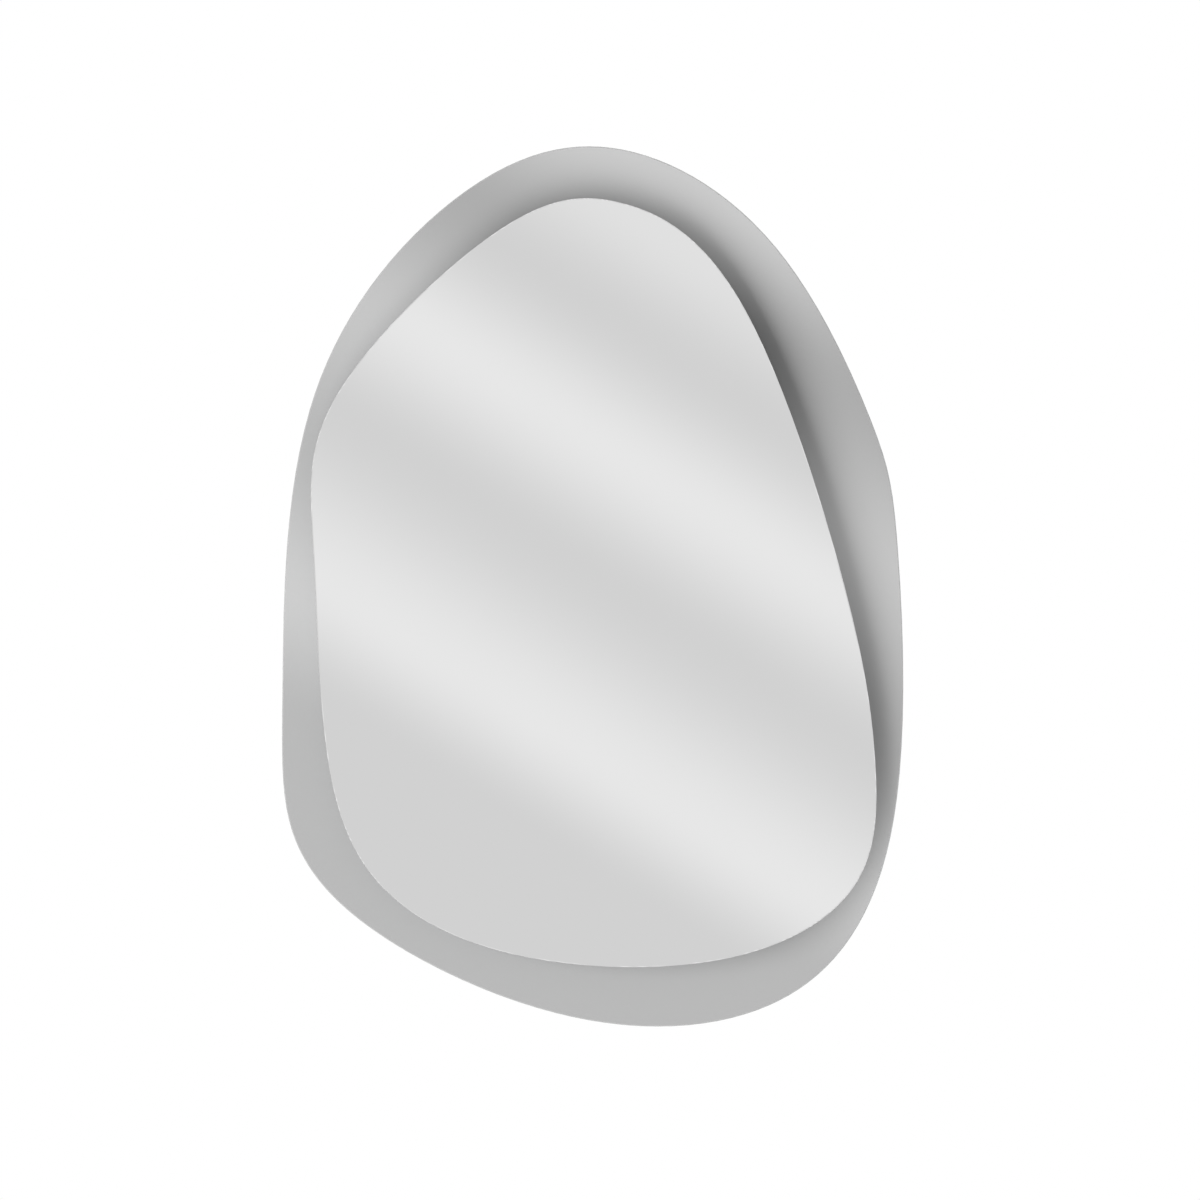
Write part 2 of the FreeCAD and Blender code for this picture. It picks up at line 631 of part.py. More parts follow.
def make_bumpers():
    """Two rubber bumpers that hold the lower half as far off the wall as the rails do."""
    body = new_body("wall_bumpers", BACKING_DEPTH, z=BUMPER_Z)
    rings = new_sketch(body, "rings")
    draw_circles(rings, bumper_places(), "sizes.bumper_diameter")
    draw_circles(rings, bumper_places(), "(sizes.wood_screw_diameter + 2 * sizes.screw_room)")
    rubber = pad(body, rings, BACKING_DEPTH, towards_room=False)
    wall_edges = widest_edges_at(rubber, evaluate(BACKING_DEPTH))
    fillet(body, rubber, wall_edges, "sizes.bumper_edge")
    recess = new_sketch(body, "recess", offset=f"(0 - {BACKING_DEPTH})")
    draw_circles(recess, bumper_places(), "sizes.bumper_recess_diameter")
    pocket(body, recess, f"({BACKING_DEPTH} - sizes.bumper_floor)")


def make_bumper_hardware():
    """A washer and a screw in each bumper."""
    screw_hole = "(sizes.wood_screw_diameter + 2 * sizes.screw_room)"
    head_depth = f"({BACKING_DEPTH} - sizes.bumper_floor - sizes.small_washer_thickness)"
    make_rings(
        "bumper_washers", head_depth, BUMPER_Z, bumper_places(),
        "sizes.small_washer_diameter", screw_hole, "sizes.small_washer_thickness",
    )
    length = "sizes.wood_screw_length"
    make_screws("bumper_screws", head_depth, BUMPER_Z, bumper_places(), wood_screw(), length)


# --- the whole mirror -----------------------------------------------------------------------


def make_mirror():
    """Every piece, from the wall outwards."""
    make_wall_rail()
    make_mirror_rail()
    make_mirror_rail_screws()
    make_bumpers()
    make_bumper_hardware()
    make_backing_board()
    make_rear_film()
    make_rear_glass()
    make_joining_hardware()
    make_spacer_board()
    make_bonding()
    make_front_film()
    make_front_glass()


def check_model():
    """Stop if any feature failed or any piece is empty or invalid."""
    DOC.recompute()
    for item in DOC.Objects:
        if {"Invalid", "Error"} & set(item.State):
            raise RuntimeError(f"{item.Name} failed: {item.State}")
    bodies = [item for item in DOC.Objects if item.TypeId == "PartDesign::Body"]
    for body in bodies:
        if body.Shape.isNull() or not body.Shape.isValid():
            raise RuntimeError(f"{body.Label} has no valid shape")
    return bodies


def export_pieces(bodies):
    """Write one STEP file for each piece."""
    os.makedirs("parts", exist_ok=True)
    for body in bodies:
        body.Shape.exportStep(f"parts/{body.Label}.step")
        box = body.Shape.BoundBox
        solids = len(body.Shape.Solids)
        low = f"({box.XMin:.1f}, {box.YMin:.1f}, {box.ZMin:.1f})"
        high = f"({box.XMax:.1f}, {box.YMax:.1f}, {box.ZMax:.1f})"
        print(f"{body.Label}: {solids} solids, {body.Shape.Volume:.0f} mm3, {low} to {high}")


make_mirror()
export_pieces(check_model())
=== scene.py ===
"""The layered irregular wall mirror, dressed and lit as a studio product picture.

A silver mirror with a rounded, irregular outline stands off a larger satin grey one. Behind them
are the boards, tapes, screws and hook rails that carry them. Metres, +Z up, the room on the -Y
side. Sizes that end in _mm, and all sizes of beads and of turned pieces, are in millimetres.
"""

import logging
import math
from abc import ABC, abstractmethod
from collections.abc import Callable, Iterator
from contextlib import contextmanager
from dataclasses import dataclass
from enum import Enum

import bmesh
import bpy
from mathutils import Matrix, Vector


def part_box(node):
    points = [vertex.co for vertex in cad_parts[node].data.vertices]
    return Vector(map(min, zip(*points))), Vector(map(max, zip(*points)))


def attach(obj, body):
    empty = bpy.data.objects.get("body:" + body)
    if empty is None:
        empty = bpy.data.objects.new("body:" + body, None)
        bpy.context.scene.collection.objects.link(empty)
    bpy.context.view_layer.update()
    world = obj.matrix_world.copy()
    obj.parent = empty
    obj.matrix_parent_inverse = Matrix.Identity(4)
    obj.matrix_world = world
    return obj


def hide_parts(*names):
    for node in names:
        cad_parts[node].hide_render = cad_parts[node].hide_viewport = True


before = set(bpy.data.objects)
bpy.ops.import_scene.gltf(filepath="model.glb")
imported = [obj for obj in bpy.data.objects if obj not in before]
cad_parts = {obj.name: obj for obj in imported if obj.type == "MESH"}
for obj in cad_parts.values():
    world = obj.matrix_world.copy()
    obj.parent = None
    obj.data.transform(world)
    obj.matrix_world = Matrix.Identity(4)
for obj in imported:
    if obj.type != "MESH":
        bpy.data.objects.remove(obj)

LOG = logging.getLogger("mirror")
MM = 0.001
MERGE_DISTANCE = 0.001 * MM
SMOOTH_ANGLE = math.radians(30)
FLAT_ANGLE = math.radians(0.05)
QUARTER_TURN = math.radians(90)
# A face looks down where its normal's height is below this.
FACES_DOWN = -0.9
WHITE = (1.0, 1.0, 1.0, 1.0)
NOISE_DETAIL = 3.0
# A noise texture hardly leaves this range, so a pattern is stretched from it.
NOISE_RANGE = (0.3, 0.7)
# Columns and rows of the screws that join the two panels.
JOINT_GRID = (2, 2)

Piece = bpy.types.Object
Tree = bpy.types.NodeTree
Node = bpy.types.Node
Socket = bpy.types.NodeSocket
Edge = bmesh.types.BMEdge
Section = list[tuple[float, float]]


class Rider(Enum):
    """The bodies that pieces ride on."""

    WALL = "wall_rail"
    MIRROR = "mirror"


class Slot(Enum):
    """The record's material slots."""

    SILVERED_GLASS = "silvered_glass"
    SATIN_GREY_MIRROR = "satin_grey_mirror"
    SAFETY_FILM = "safety_film"
    BLACK_BOARD = "black_board"
    FOAM_TAPE = "foam_tape"
    ADHESIVE = "adhesive"
    NYLON = "nylon"
    ZINC_STEEL = "zinc_steel"
    BRASS = "brass"
    ALUMINIUM = "aluminium"
    BLACK_RUBBER = "black_rubber"


class Part(Enum):
    """The parts of a mesh that are picked out in edit mode."""

    EDGES = "EDGE"
    FACES = "FACE"


# --- finishes -------------------------------------------------------------------------------


def linear(colour: str) -> tuple[float, float, float, float]:
    """Turn an sRGB hex colour into linear light.

    Args:
        colour: The colour, such as "#E7E7E7".

    Returns:
        Red, green, blue and an alpha of 1.
    """
    channels = []
    for start in (1, 3, 5):
        value = int(colour[start:start + 2], 16) / 255
        channels.append(value / 12.92 if value <= 0.04045 else ((value + 0.055) / 1.055) ** 2.4)
    return (*channels, 1.0)


def add_node(tree: Tree, kind: str, inputs: dict | None = None, **settings: object) -> Node:
    """Add a shader node, set it up and feed it.

    Args:
        tree: The tree that the node goes into.
        kind: The node's type, without its "ShaderNode" in front.
        inputs: What feeds each input, by name or number: a value, or a socket to link.
        settings: The node's own properties.

    Returns:
        The new node.
    """
    node = tree.nodes.new(f"ShaderNode{kind}")
    for name, value in settings.items():
        setattr(node, name, value)
    for name, value in (inputs or {}).items():
        if isinstance(value, Socket):
            tree.links.new(value, node.inputs[name])
        else:
            node.inputs[name].default_value = value
    return node


@dataclass(frozen=True)
class Finish:
    """A real material: its plain surface, and the grain and the gloss that break it up.

    The grain goes between colour and other and stands up by relief_mm where it shows other. The
    gloss varies in patches, from clearer to duller than the plain roughness. Extras are more of
    the shader's own values. Each finish's own words say what it gives the eye.
    """

    name: str
    colour: str
    roughness: float
    metallic: float = 0.0
    ior: float = 1.5
    other: str = ""
    grain_mm: float = 1.0
    stretch: tuple[float, float, float] = (1, 1, 1)
    relief_mm: float = 0.0
    gloss_mm: float = 0.0
    clearer: float = 0.0
    duller: float = 0.0
    extras: tuple[tuple[str, float], ...] = ()

    def build(self) -> bpy.types.Material:
        """Make the material, or give back the one already made.

        Returns:
            The material.
        """
        existing = bpy.data.materials.get(self.name)
        if existing:
            return existing
        material = bpy.data.materials.new(self.name)
        material.use_nodes = True
        shader = material.node_tree.nodes["Principled BSDF"]
        shader.inputs["Base Color"].default_value = linear(self.colour)
        plain = {"Roughness": self.roughness, "Metallic": self.metallic, "IOR": self.ior}
        for name, value in (plain | dict(self.extras)).items():
            shader.inputs[name].default_value = value
        self.pattern(material.node_tree, shader)
        return material

    def pattern(self, tree: Tree, shader: Node) -> None:
        """Break the plain surface up, with the grain and the patches of gloss that it has.

        Args:
            tree: The material's tree.
            shader: Its shader.
        """
        if self.other:
            self.show_grain_and_painted_light(tree, shader, self.mottle(tree, self.grain_mm, 0.0, 1.0, self.stretch))
        if self.gloss_mm:
            low, high = self.roughness - self.clearer, self.roughness + self.duller
            tree.links.new(self.mottle(tree, self.gloss_mm, low, high), shader.inputs["Roughness"])

    def mottle(
        self, tree: Tree, size_mm: float, low: float, high: float,
        stretch: tuple[float, float, float] = (1, 1, 1),
    ) -> Socket:
        """Add a soft random pattern on the piece's own coordinates.

        Args:
            tree: The material's tree.
            size_mm: Size of a patch.
            low: Least value.
            high: Greatest value.
            stretch: How much longer a patch is along each axis.

        Returns:
            The socket that carries the value.
        """
        place = add_node(tree, "TexCoord").outputs["Object"]
        scale = tuple(1 / (size_mm * MM * along) for along in stretch)
        scaled = add_node(tree, "Mapping", {"Vector": place, "Scale": scale}).outputs["Vector"]
        settings = {"Vector": scaled, "Scale": 1.0, "Detail": NOISE_DETAIL}
        values = {"Value": add_node(tree, "TexNoise", settings).outputs["Fac"]}
        values.update({"From Min": NOISE_RANGE[0], "From Max": NOISE_RANGE[1]})
        values.update({"To Min": low, "To Max": high})
        return add_node(tree, "MapRange", values).outputs["Result"]

    def show_grain_and_painted_light(self, tree: Tree, shader: Node, grain: Socket) -> None:
        """Let a grain show in the surface: in its colour, and as relief where it has any. In the
        glass edge and the safety film it carries painted light and shade.

        Args:
            tree: The material's tree.
            shader: Its shader.
            grain: The grain, from 0 to 1.
        """
        colours = {0: grain, 6: linear(self.colour), 7: linear(self.other)}
        mixed = add_node(tree, "Mix", colours, data_type="RGBA")
        tree.links.new(mixed.outputs[2], shader.inputs["Base Color"])
        if self.relief_mm:
            bump = add_node(tree, "Bump", {"Height": grain, "Distance": self.relief_mm * MM})
            tree.links.new(bump.outputs["Normal"], shader.inputs["Normal"])


@dataclass(frozen=True)
class SilveredMirror(Finish):
    """Float glass silvered on its back: a clean, neutral reflection.

    Polishing leaves hardly any haze, a trace uneven in patches a hand wide.
    """

    name: str = "silvered_float_glass"
    colour: str = "#F7F7F7"
    roughness: float = 0.015
    metallic: float = 1.0
    gloss_mm: float = 90.0
    clearer: float = 0.006
    duller: float = 0.006


@dataclass(frozen=True)
class SatinGreyMirror(Finish):
    """Grey mirror with an acid-etched face: it scatters most of the light, so it looks satin.

    The etch is a fine even grain, drawn coarser than the real 0.1 mm so that it shows.
    """

    name: str = "satin_etched_grey_mirror"
    colour: str = "#B0B0B0"
    roughness: float = 0.24
    metallic: float = 0.1
    gloss_mm: float = 1.5
    clearer: float = 0.02
    duller: float = 0.02


@dataclass(frozen=True)
class PolishedArris(Finish):
    """Fine bevel polished round a satin mirror's face: clearer, so it mirrors the room.

    The polishing wheel leaves short marks, a shade duller.
    """

    name: str = "polished_mirror_arris"
    colour: str = "#D8D8D8"
    roughness: float = 0.15
    metallic: float = 0.7
    other: str = "#CCCCCC"
    grain_mm: float = 4.0
    gloss_mm: float = 4.0
    clearer: float = 0.05
    duller: float = 0.08


@dataclass(frozen=True)
class PolishedGlassEdge(Finish):
    """Ground and polished edge of clear float glass: deep grey-green under a clear polish.

    Brighter streaks across its thickness are painted light: the paler colour stands in for
    light that runs inside the glass and comes out at the edge.
    """

    name: str = "polished_float_glass_edge"
    colour: str = "#7F9A90"
    roughness: float = 0.07
    # Painted light: the paler colour of the streaks, where light comes out of the edge.
    other: str = "#C2D3CC"
    grain_mm: float = 9.0
    stretch: tuple[float, float, float] = (1, 4, 1)
    extras: tuple[tuple[str, float], ...] = (("Coat Weight", 0.6), ("Coat Roughness", 0.03))


@dataclass(frozen=True)
class MirrorBackPaint(Finish):
    """Curtain-coated protective paint over the silver: flat grey.

    Its faint ripples run the way the glass went through the coater.
    """

    name: str = "mirror_backing_paint"
    colour: str = "#6F7679"
    roughness: float = 0.45
    other: str = "#7B8285"
    grain_mm: float = 14.0
    stretch: tuple[float, float, float] = (6, 1, 1)
    relief_mm: float = 0.05


@dataclass(frozen=True)
class WovenSafetyFilm(Finish):
    """Woven polyethylene film: flat tapes that cross over and under, with a dull sheen.

    The real tapes are 1 mm wide, drawn at 4 mm so that they show. Their colour has painted
    shade: darker where a tape goes under another, and where its crown slopes to the gaps.
    """

    name: str = "woven_polyethylene_safety_film"
    colour: str = "#AEB4B9"
    roughness: float = 0.38
    other: str = "#D3D7DA"
    relief_mm: float = 0.12
    tape_mm: float = 4.0
    gap_share: float = 0.16
    crossing_share: float = 0.2
    # Depth in the relief, and painted shade in the colour, of a tape where it goes under.
    under_tape_depth_and_shade: float = 0.35

    def pattern(self, tree: Tree, shader: Node) -> None:
        """Weave the tapes along X and Z, each crowned, with gaps at its sides and painted shade.

        Args:
            tree: The material's tree.
            shader: Its shader.
        """
        place = add_node(tree, "TexCoord").outputs["Object"]
        parts = add_node(tree, "SeparateXYZ", {"Vector": place})
        waves, crowns_relief_and_shade = [], []
        for axis in ("X", "Z"):
            along = {0: parts.outputs[axis], 1: math.pi / (self.tape_mm * MM)}
            phase = add_node(tree, "Math", along, operation="MULTIPLY").outputs[0]
            wave = add_node(tree, "Math", {0: phase}, operation="SINE").outputs[0]
            height = add_node(tree, "Math", {0: wave}, operation="ABSOLUTE").outputs[0]
            # Dark in the gaps, with painted shade where the crown slopes down to them; also the
            # relief.
            crown_relief_and_shade = {"Value": height, "From Max": self.gap_share * 2}
            waves.append(wave)
            crowns_relief_and_shade.append(add_node(tree, "MapRange", crown_relief_and_shade).outputs["Result"])
        crossing = add_node(tree, "Math", dict(enumerate(waves)), operation="MULTIPLY").outputs[0]
        tapes = add_node(tree, "Math", dict(enumerate(crowns_relief_and_shade)), operation="MULTIPLY").outputs[0]
        # The tape that goes under lies lower and is painted darker, as shade.
        on_top = {"Value": crossing, "From Min": -self.crossing_share}
        on_top.update({"From Max": self.crossing_share, "To Min": self.under_tape_depth_and_shade})
        weave_depth_and_shade = add_node(tree, "MapRange", on_top).outputs["Result"]
        shown = add_node(tree, "Math", {0: weave_depth_and_shade, 1: tapes}, operation="MULTIPLY").outputs[0]
        self.show_grain_and_painted_light(tree, shader, shown)


@dataclass(frozen=True)
class PaintedBoard(Finish):
    """Fibreboard rolled with black water paint: a low sheen over the roller's fine stipple.

    Where the paint went on thinner, there are duller patches.
    """

    name: str = "black_painted_fibreboard"
    colour: str = "#19191A"
    roughness: float = 0.5
    other: str = "#2A2928"
    grain_mm: float = 2.2
    relief_mm: float = 0.12
    gloss_mm: float = 60.0
    clearer: float = 0.03
    duller: float = 0.04


@dataclass(frozen=True)
class BareFibreboard(Finish):
    """Fibreboard where the drill has cut it: matted fibres in two browns, with no sheen."""

    name: str = "bare_cut_fibreboard"
    colour: str = "#8B6A46"
    roughness: float = 0.9
    other: str = "#A98660"
    grain_mm: float = 0.8
    stretch: tuple[float, float, float] = (3, 1, 1)
    relief_mm: float = 0.15


@dataclass(frozen=True)
class FoamTape(Finish):
    """Closed-cell polyethylene foam: white, matt, with cells that show at its cut edge."""

    name: str = "white_polyethylene_foam"
    colour: str = "#E3E1DA"
    roughness: float = 0.85
    other: str = "#CFCCC3"
    grain_mm: float = 0.7
    relief_mm: float = 0.1

    def pattern(self, tree: Tree, shader: Node) -> None:
        """Fill the foam with round cells a fraction of a millimetre wide.

        Args:
            tree: The material's tree.
            shader: Its shader.
        """
        place = add_node(tree, "TexCoord").outputs["Object"]
        scale = 1 / (self.grain_mm * MM)
        cells = add_node(tree, "TexVoronoi", {"Vector": place, "Scale": scale})
        self.show_grain_and_painted_light(tree, shader, cells.outputs["Distance"])


@dataclass(frozen=True)
class MirrorAdhesive(Finish):
    """Cured neutral mirror adhesive: off-white rubber in a smooth skin with soft flow marks."""

    name: str = "cured_mirror_adhesive"
    colour: str = "#D2CFC4"
    roughness: float = 0.35
    other: str = "#BFBBAE"
    grain_mm: float = 12.0
    stretch: tuple[float, float, float] = (1, 1, 3)
    relief_mm: float = 0.2


@dataclass(frozen=True)
class MouldedNylon(Finish):
    """Natural nylon, injection moulded: milky, satin, with the mould's fine texture.

    Light soaks in by a millimetre.
    """

    name: str = "natural_moulded_nylon"
    colour: str = "#E9E4D6"
    roughness: float = 0.4
    other: str = "#DDD7C4"
    grain_mm: float = 0.8
    relief_mm: float = 0.02
    extras: tuple[tuple[str, float], ...] = (("Subsurface Weight", 0.3), ("Subsurface Scale", MM))


@dataclass(frozen=True)
class ZincPlatedSteel(Finish):
    """Bright zinc on steel: cool grey metal.

    Passivation gives it a faint blue and straw bloom, and patches of gloss.
    """

    name: str = "bright_zinc_plated_steel"
    colour: str = "#B7BDC4"
    roughness: float = 0.27
    metallic: float = 1.0
    other: str = "#C7C3B2"
    grain_mm: float = 3.0
    gloss_mm: float = 1.2
    clearer: float = 0.06
    duller: float = 0.08


@dataclass(frozen=True)
class TurnedBrass(Finish):
    """Free-cutting brass off the lathe: warm yellow, with the tool's fine rings round its axis."""

    name: str = "turned_brass"
    colour: str = "#CDA650"
    roughness: float = 0.25
    metallic: float = 1.0
    other: str = "#B88F3E"
    grain_mm: float = 0.3
    stretch: tuple[float, float, float] = (30, 1, 30)
    relief_mm: float = 0.02


@dataclass(frozen=True)
class ExtrudedAluminium(Finish):
    """Mill-finish extrusion: pale metal with straight lines from the die along its length.

    Handling dulls it in patches.
    """

    name: str = "extruded_aluminium"
    colour: str = "#CBCDCF"
    roughness: float = 0.3
    metallic: float = 1.0
    other: str = "#B4B7BA"
    grain_mm: float = 0.5
    stretch: tuple[float, float, float] = (400, 1, 1)
    relief_mm: float = 0.02
    gloss_mm: float = 25.0
    clearer: float = 0.05
    duller: float = 0.1


@dataclass(frozen=True)
class MouldedRubber(Finish):
    """Black moulded rubber: matt, with a fine spark-eroded texture, paler where dust settles."""

    name: str = "black_moulded_rubber"
    colour: str = "#1C1C1D"
    roughness: float = 0.62
    other: str = "#2B2A29"
    grain_mm: float = 0.6
    relief_mm: float = 0.06


@dataclass(frozen=True)
class PaleStudioFloor(Finish):
    """Matt studio floor: almost white, faintly cloudy, and it fades into the white round it."""

    name: str = "pale_studio_floor"
    colour: str = "#ECECEA"
    roughness: float = 0.7
    other: str = "#E6E6E4"
    grain_mm: float = 400.0
    glow: float = 0.6
    fade_from: float = 1.6
    fade_to: float = 4.6

    def pattern(self, tree: Tree, shader: Node) -> None:
        """Make it clear past the fade, and from below, where it would only be in the way.

        Args:
            tree: The material's tree.
            shader: Its shader.
        """
        super().pattern(tree, shader)
        place = add_node(tree, "TexCoord").outputs["Object"]
        flat = add_node(tree, "VectorMath", {0: place, 1: (1, 1, 0)}, operation="MULTIPLY")
        out = add_node(tree, "VectorMath", {0: flat.outputs["Vector"]}, operation="LENGTH")
        fade = {"Value": out.outputs["Value"], "From Min": self.fade_from, "From Max": self.fade_to}
        fade.update({"To Min": 1.0, "To Max": 0.0})
        shown = add_node(tree, "MapRange", fade, interpolation_type="SMOOTHSTEP").outputs["Result"]
        under = add_node(tree, "NewGeometry").outputs["Backfacing"]
        above = add_node(tree, "Math", {0: 1.0, 1: under}, operation="SUBTRACT").outputs[0]
        alpha = add_node(tree, "Math", {0: shown, 1: above}, operation="MULTIPLY").outputs[0]
        tree.links.new(alpha, shader.inputs["Alpha"])
        shader.inputs["Emission Color"].default_value = linear(self.colour)
        shader.inputs["Emission Strength"].default_value = self.glow


# --- modelling helpers ----------------------------------------------------------------------


def select_only(piece: Piece) -> None:
    """Select one object and make it the active one.

    Args:
        piece: The object.
    """
    bpy.ops.object.select_all(action="DESELECT")
    piece.select_set(True)
    bpy.context.view_layer.objects.active = piece


def add_object(name: str, data: bpy.types.ID) -> Piece:
    """Put a new object in the scene and select it alone.

    Args:
        name: The name that it and its data get.
        data: Its mesh, light or camera.

    Returns:
        The new object.
    """
    data.name = name
    piece = bpy.data.objects.new(name, data)
    bpy.context.scene.collection.objects.link(piece)
    select_only(piece)
    return piece


def start_piece(name: str, primitive: Callable, **settings: object) -> Piece:
    """Start a piece from a primitive at the origin.

    Args:
        name: The new piece's name.
        primitive: The operator that adds the primitive.
        settings: The operator's settings.

    Returns:
        The new object, selected alone.
    """
    bpy.ops.object.select_all(action="DESELECT")
    primitive(**settings)
    piece = bpy.context.object
    piece.name = piece.data.name = name
    return piece


@contextmanager
def editing(piece: Piece, select: str = "DESELECT") -> Iterator[None]:
    """Open a piece in edit mode, with all of it selected or nothing, and close it afterwards.

    Args:
        piece: The object to edit.
        select: The select_all action to start with.
    """
    select_only(piece)
    bpy.ops.object.mode_set(mode="EDIT")
    bpy.ops.mesh.select_mode(type="VERT")
    bpy.ops.mesh.select_all(action=select)
    yield
    bpy.ops.object.mode_set(mode="OBJECT")


def select_where(piece: Piece, part: Part, test: Callable[..., bool]) -> None:
    """Select, in edit mode, just the edges or the faces that pass a test.

    Args:
        piece: The object that is being edited.
        part: Which of them are looked at.
        test: Says whether an edge or a face is selected.
    """
    bpy.ops.mesh.select_all(action="DESELECT")
    bpy.ops.mesh.select_mode(type=part.value)
    mesh = bmesh.from_edit_mesh(piece.data)
    for element in mesh.edges if part is Part.EDGES else mesh.faces:
        if test(element):
            element.select_set(True)
    bmesh.update_edit_mesh(piece.data)


def extent(edge: Edge) -> Vector:
    """How far an edge runs along each axis."""
    start, end = (corner.co for corner in edge.verts)
    return Vector([abs(step) for step in end - start])


def apply_modifier(piece: Piece, kind: str, **settings: object) -> None:
    """Put a modifier on a piece and apply it.

    Args:
        piece: The object.
        kind: The modifier's type.
        settings: The modifier's own properties.
    """
    select_only(piece)
    modifier = piece.modifiers.new(kind.lower(), kind)
    for name, value in settings.items():
        setattr(modifier, name, value)
    bpy.ops.object.modifier_apply(modifier=modifier.name)


def soften(piece: Piece, width_mm: float, segments: int = 2) -> None:
    """Round every real edge of a piece.

    Args:
        piece: The object.
        width_mm: Width of the rounding.
        segments: Flats across it.
    """
    apply_modifier(
        piece, "BEVEL", width=width_mm * MM, segments=segments,
        limit_method="ANGLE", angle_limit=SMOOTH_ANGLE, harden_normals=True,
    )


def cut(piece: Piece, cutter: Piece) -> None:
    """Take the cutter's shape out of the piece, and delete the cutter."""
    apply_modifier(piece, "BOOLEAN", object=cutter, operation="DIFFERENCE", solver="EXACT")
    bpy.data.meshes.remove(cutter.data)


def welded_copy(node: str, name: str) -> Piece:
    """Copy a CAD node's shape into a new piece, its triangles joined into one skin.

    Args:
        node: The CAD node.
        name: The new piece's name.

    Returns:
        The new object, shaded smooth except at its real edges.
    """
    piece = add_object(name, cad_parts[node].data.copy())
    piece.data.materials.clear()
    bpy.ops.mesh.customdata_custom_splitnormals_clear()
    with editing(piece, "SELECT"):
        bpy.ops.mesh.remove_doubles(threshold=MERGE_DISTANCE)
        bpy.ops.mesh.dissolve_limited(angle_limit=FLAT_ANGLE, delimit={"NORMAL"})
    bpy.ops.object.shade_smooth_by_angle(angle=SMOOTH_ANGLE)
    return piece


def trace(name: str, section: Section) -> Piece:
    """Draw a section by extruding a single point from corner to corner.

    Args:
        name: The new piece's name.
        section: Distance from the Z axis and height of each corner, in mm.

    Returns:
        The new object, a line of edges in the XZ plane.
    """
    corners = [Vector((out, 0, up)) * MM for out, up in section]
    piece = start_piece(name, bpy.ops.mesh.primitive_plane_add, size=MM)
    with editing(piece, "SELECT"):
        bpy.ops.mesh.merge(type="CENTER")
        bpy.ops.transform.translate(value=corners[0])
        for start, end in zip(corners, corners[1:]):
            bpy.ops.mesh.extrude_region_move(TRANSFORM_OT_translate={"value": end - start})
    return piece


def turn(name: str, section: Section, steps: int) -> Piece:
    """Turn a section about the Z axis, as on a lathe.

    Args:
        name: The new piece's name.
        section: The section, closed or with both ends on the axis.
        steps: Flats round the piece.

    Returns:
        The new object, a closed skin.
    """
    piece = trace(name, section)
    with editing(piece, "SELECT"):
        bpy.ops.mesh.spin(steps=steps, angle=math.tau, center=(0, 0, 0), axis=(0, 0, 1))
        bpy.ops.mesh.select_all(action="SELECT")
        bpy.ops.mesh.remove_doubles(threshold=MERGE_DISTANCE)
        bpy.ops.mesh.normals_make_consistent(inside=False)
    bpy.ops.object.shade_smooth_by_angle(angle=SMOOTH_ANGLE)
    return piece


def even_steps(first: float, last: float, count: int) -> list[float]:
    """Spread places evenly from first to last, or put a single one halfway."""
    shares = [number / (count - 1) for number in range(count)] if count > 1 else [0.5]
    return [first + (last - first) * share for share in shares]


def spread(node: str, width_mm: float, columns: int, rows: int) -> list[Vector]:
    """Find the centres of a node's equal solids, which stand in columns and rows.

    Args:
        node: The CAD node.
        width_mm: Width of each solid.
        columns: How many stand side by side.
        rows: How many stand above each other.

    Returns:
        A point for each, at the node's face nearest the wall.
    """
    low, high = (Vector(corner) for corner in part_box(node))
    margin = width_mm * MM / 2
    across = even_steps(low.x + margin, high.x - margin, columns)
    upwards = even_steps(low.z + margin, high.z - margin, rows)
    return [Vector((x, high.y, z)) for z in upwards for x in across]


def place_copies(
    master: Piece, name: str, places: list[Vector], turned: float = -QUARTER_TURN
) -> list[Piece]:
    """Stand copies of a piece at places, and delete the piece.

    Args:
        master: The piece, modelled at the origin.
        name: The copies' name, to which a number is added.
        places: Where the origin goes.
        turned: How far the copies are turned about X. Turned pieces lie down along Y.

    Returns:
        The placed copies, each with its own mesh and its object at the origin.
    """
    copies = []
    for number, place in enumerate(places, start=1):
        piece = add_object(f"{name}_{number}", master.data.copy())
        piece.location = place
        piece.rotation_euler = (turned, 0, 0)
        bpy.ops.object.transform_apply(location=True, rotation=True, scale=True)
        copies.append(piece)
    bpy.data.meshes.remove(master.data)
    return copies


def dress(piece: Piece, finish: Finish) -> None:
    """Give a whole piece one finish."""
    piece.data.materials.clear()
    piece.data.materials.append(finish.build())


def dress_faces(piece: Piece, finish: Finish, test: Callable[[Vector, Vector], bool]) -> None:
    """Give another finish to some of a piece's faces.

    Args:
        piece: The object.
        finish: The other finish.
        test: Says whether it goes on the face with this centre and normal.
    """
    piece.data.materials.append(finish.build())
    index = len(piece.data.materials) - 1
    for face in piece.data.polygons:
        if test(face.center, face.normal):
            face.material_index = index


def install(piece: Piece, rider: Rider, node: str) -> None:
    """Put a finished piece in the frame in place of a CAD node, and report it.

    Args:
        piece: The finished object, at the origin.
        rider: The body that it moves with.
        node: The CAD node that it stands for.
    """
    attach(piece, rider.value)
    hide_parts(node)
    LOG.info("%s: %d faces, in place of %s", piece.name, len(piece.data.polygons), node)


# --- layers and rails -----------------------------------------------------------------------


@dataclass
class Layer:
    """A piece with the shape that the frame gives it, and its sharp edges broken."""

    node: str
    name: str
    finish: Finish
    slot: Slot
    rider: Rider = Rider.MIRROR
    edge_mm: float = 0.0
    edge_steps: int = 2

    def build(self) -> Piece:
        """Take the shape from the frame, and break its edges where it has sharp ones.

        Returns:
            The new object.
        """
        piece = welded_copy(self.node, self.name)
        if self.edge_mm:
            soften(piece, self.edge_mm, self.edge_steps)
        return piece

    def dress(self, piece: Piece) -> None:
        """Give the whole piece its finish."""
        dress(piece, self.finish)

    def make(self) -> None:
        """Build, dress and install the piece."""
        piece = self.build()
        self.dress(piece)
        install(piece, self.rider, self.node)


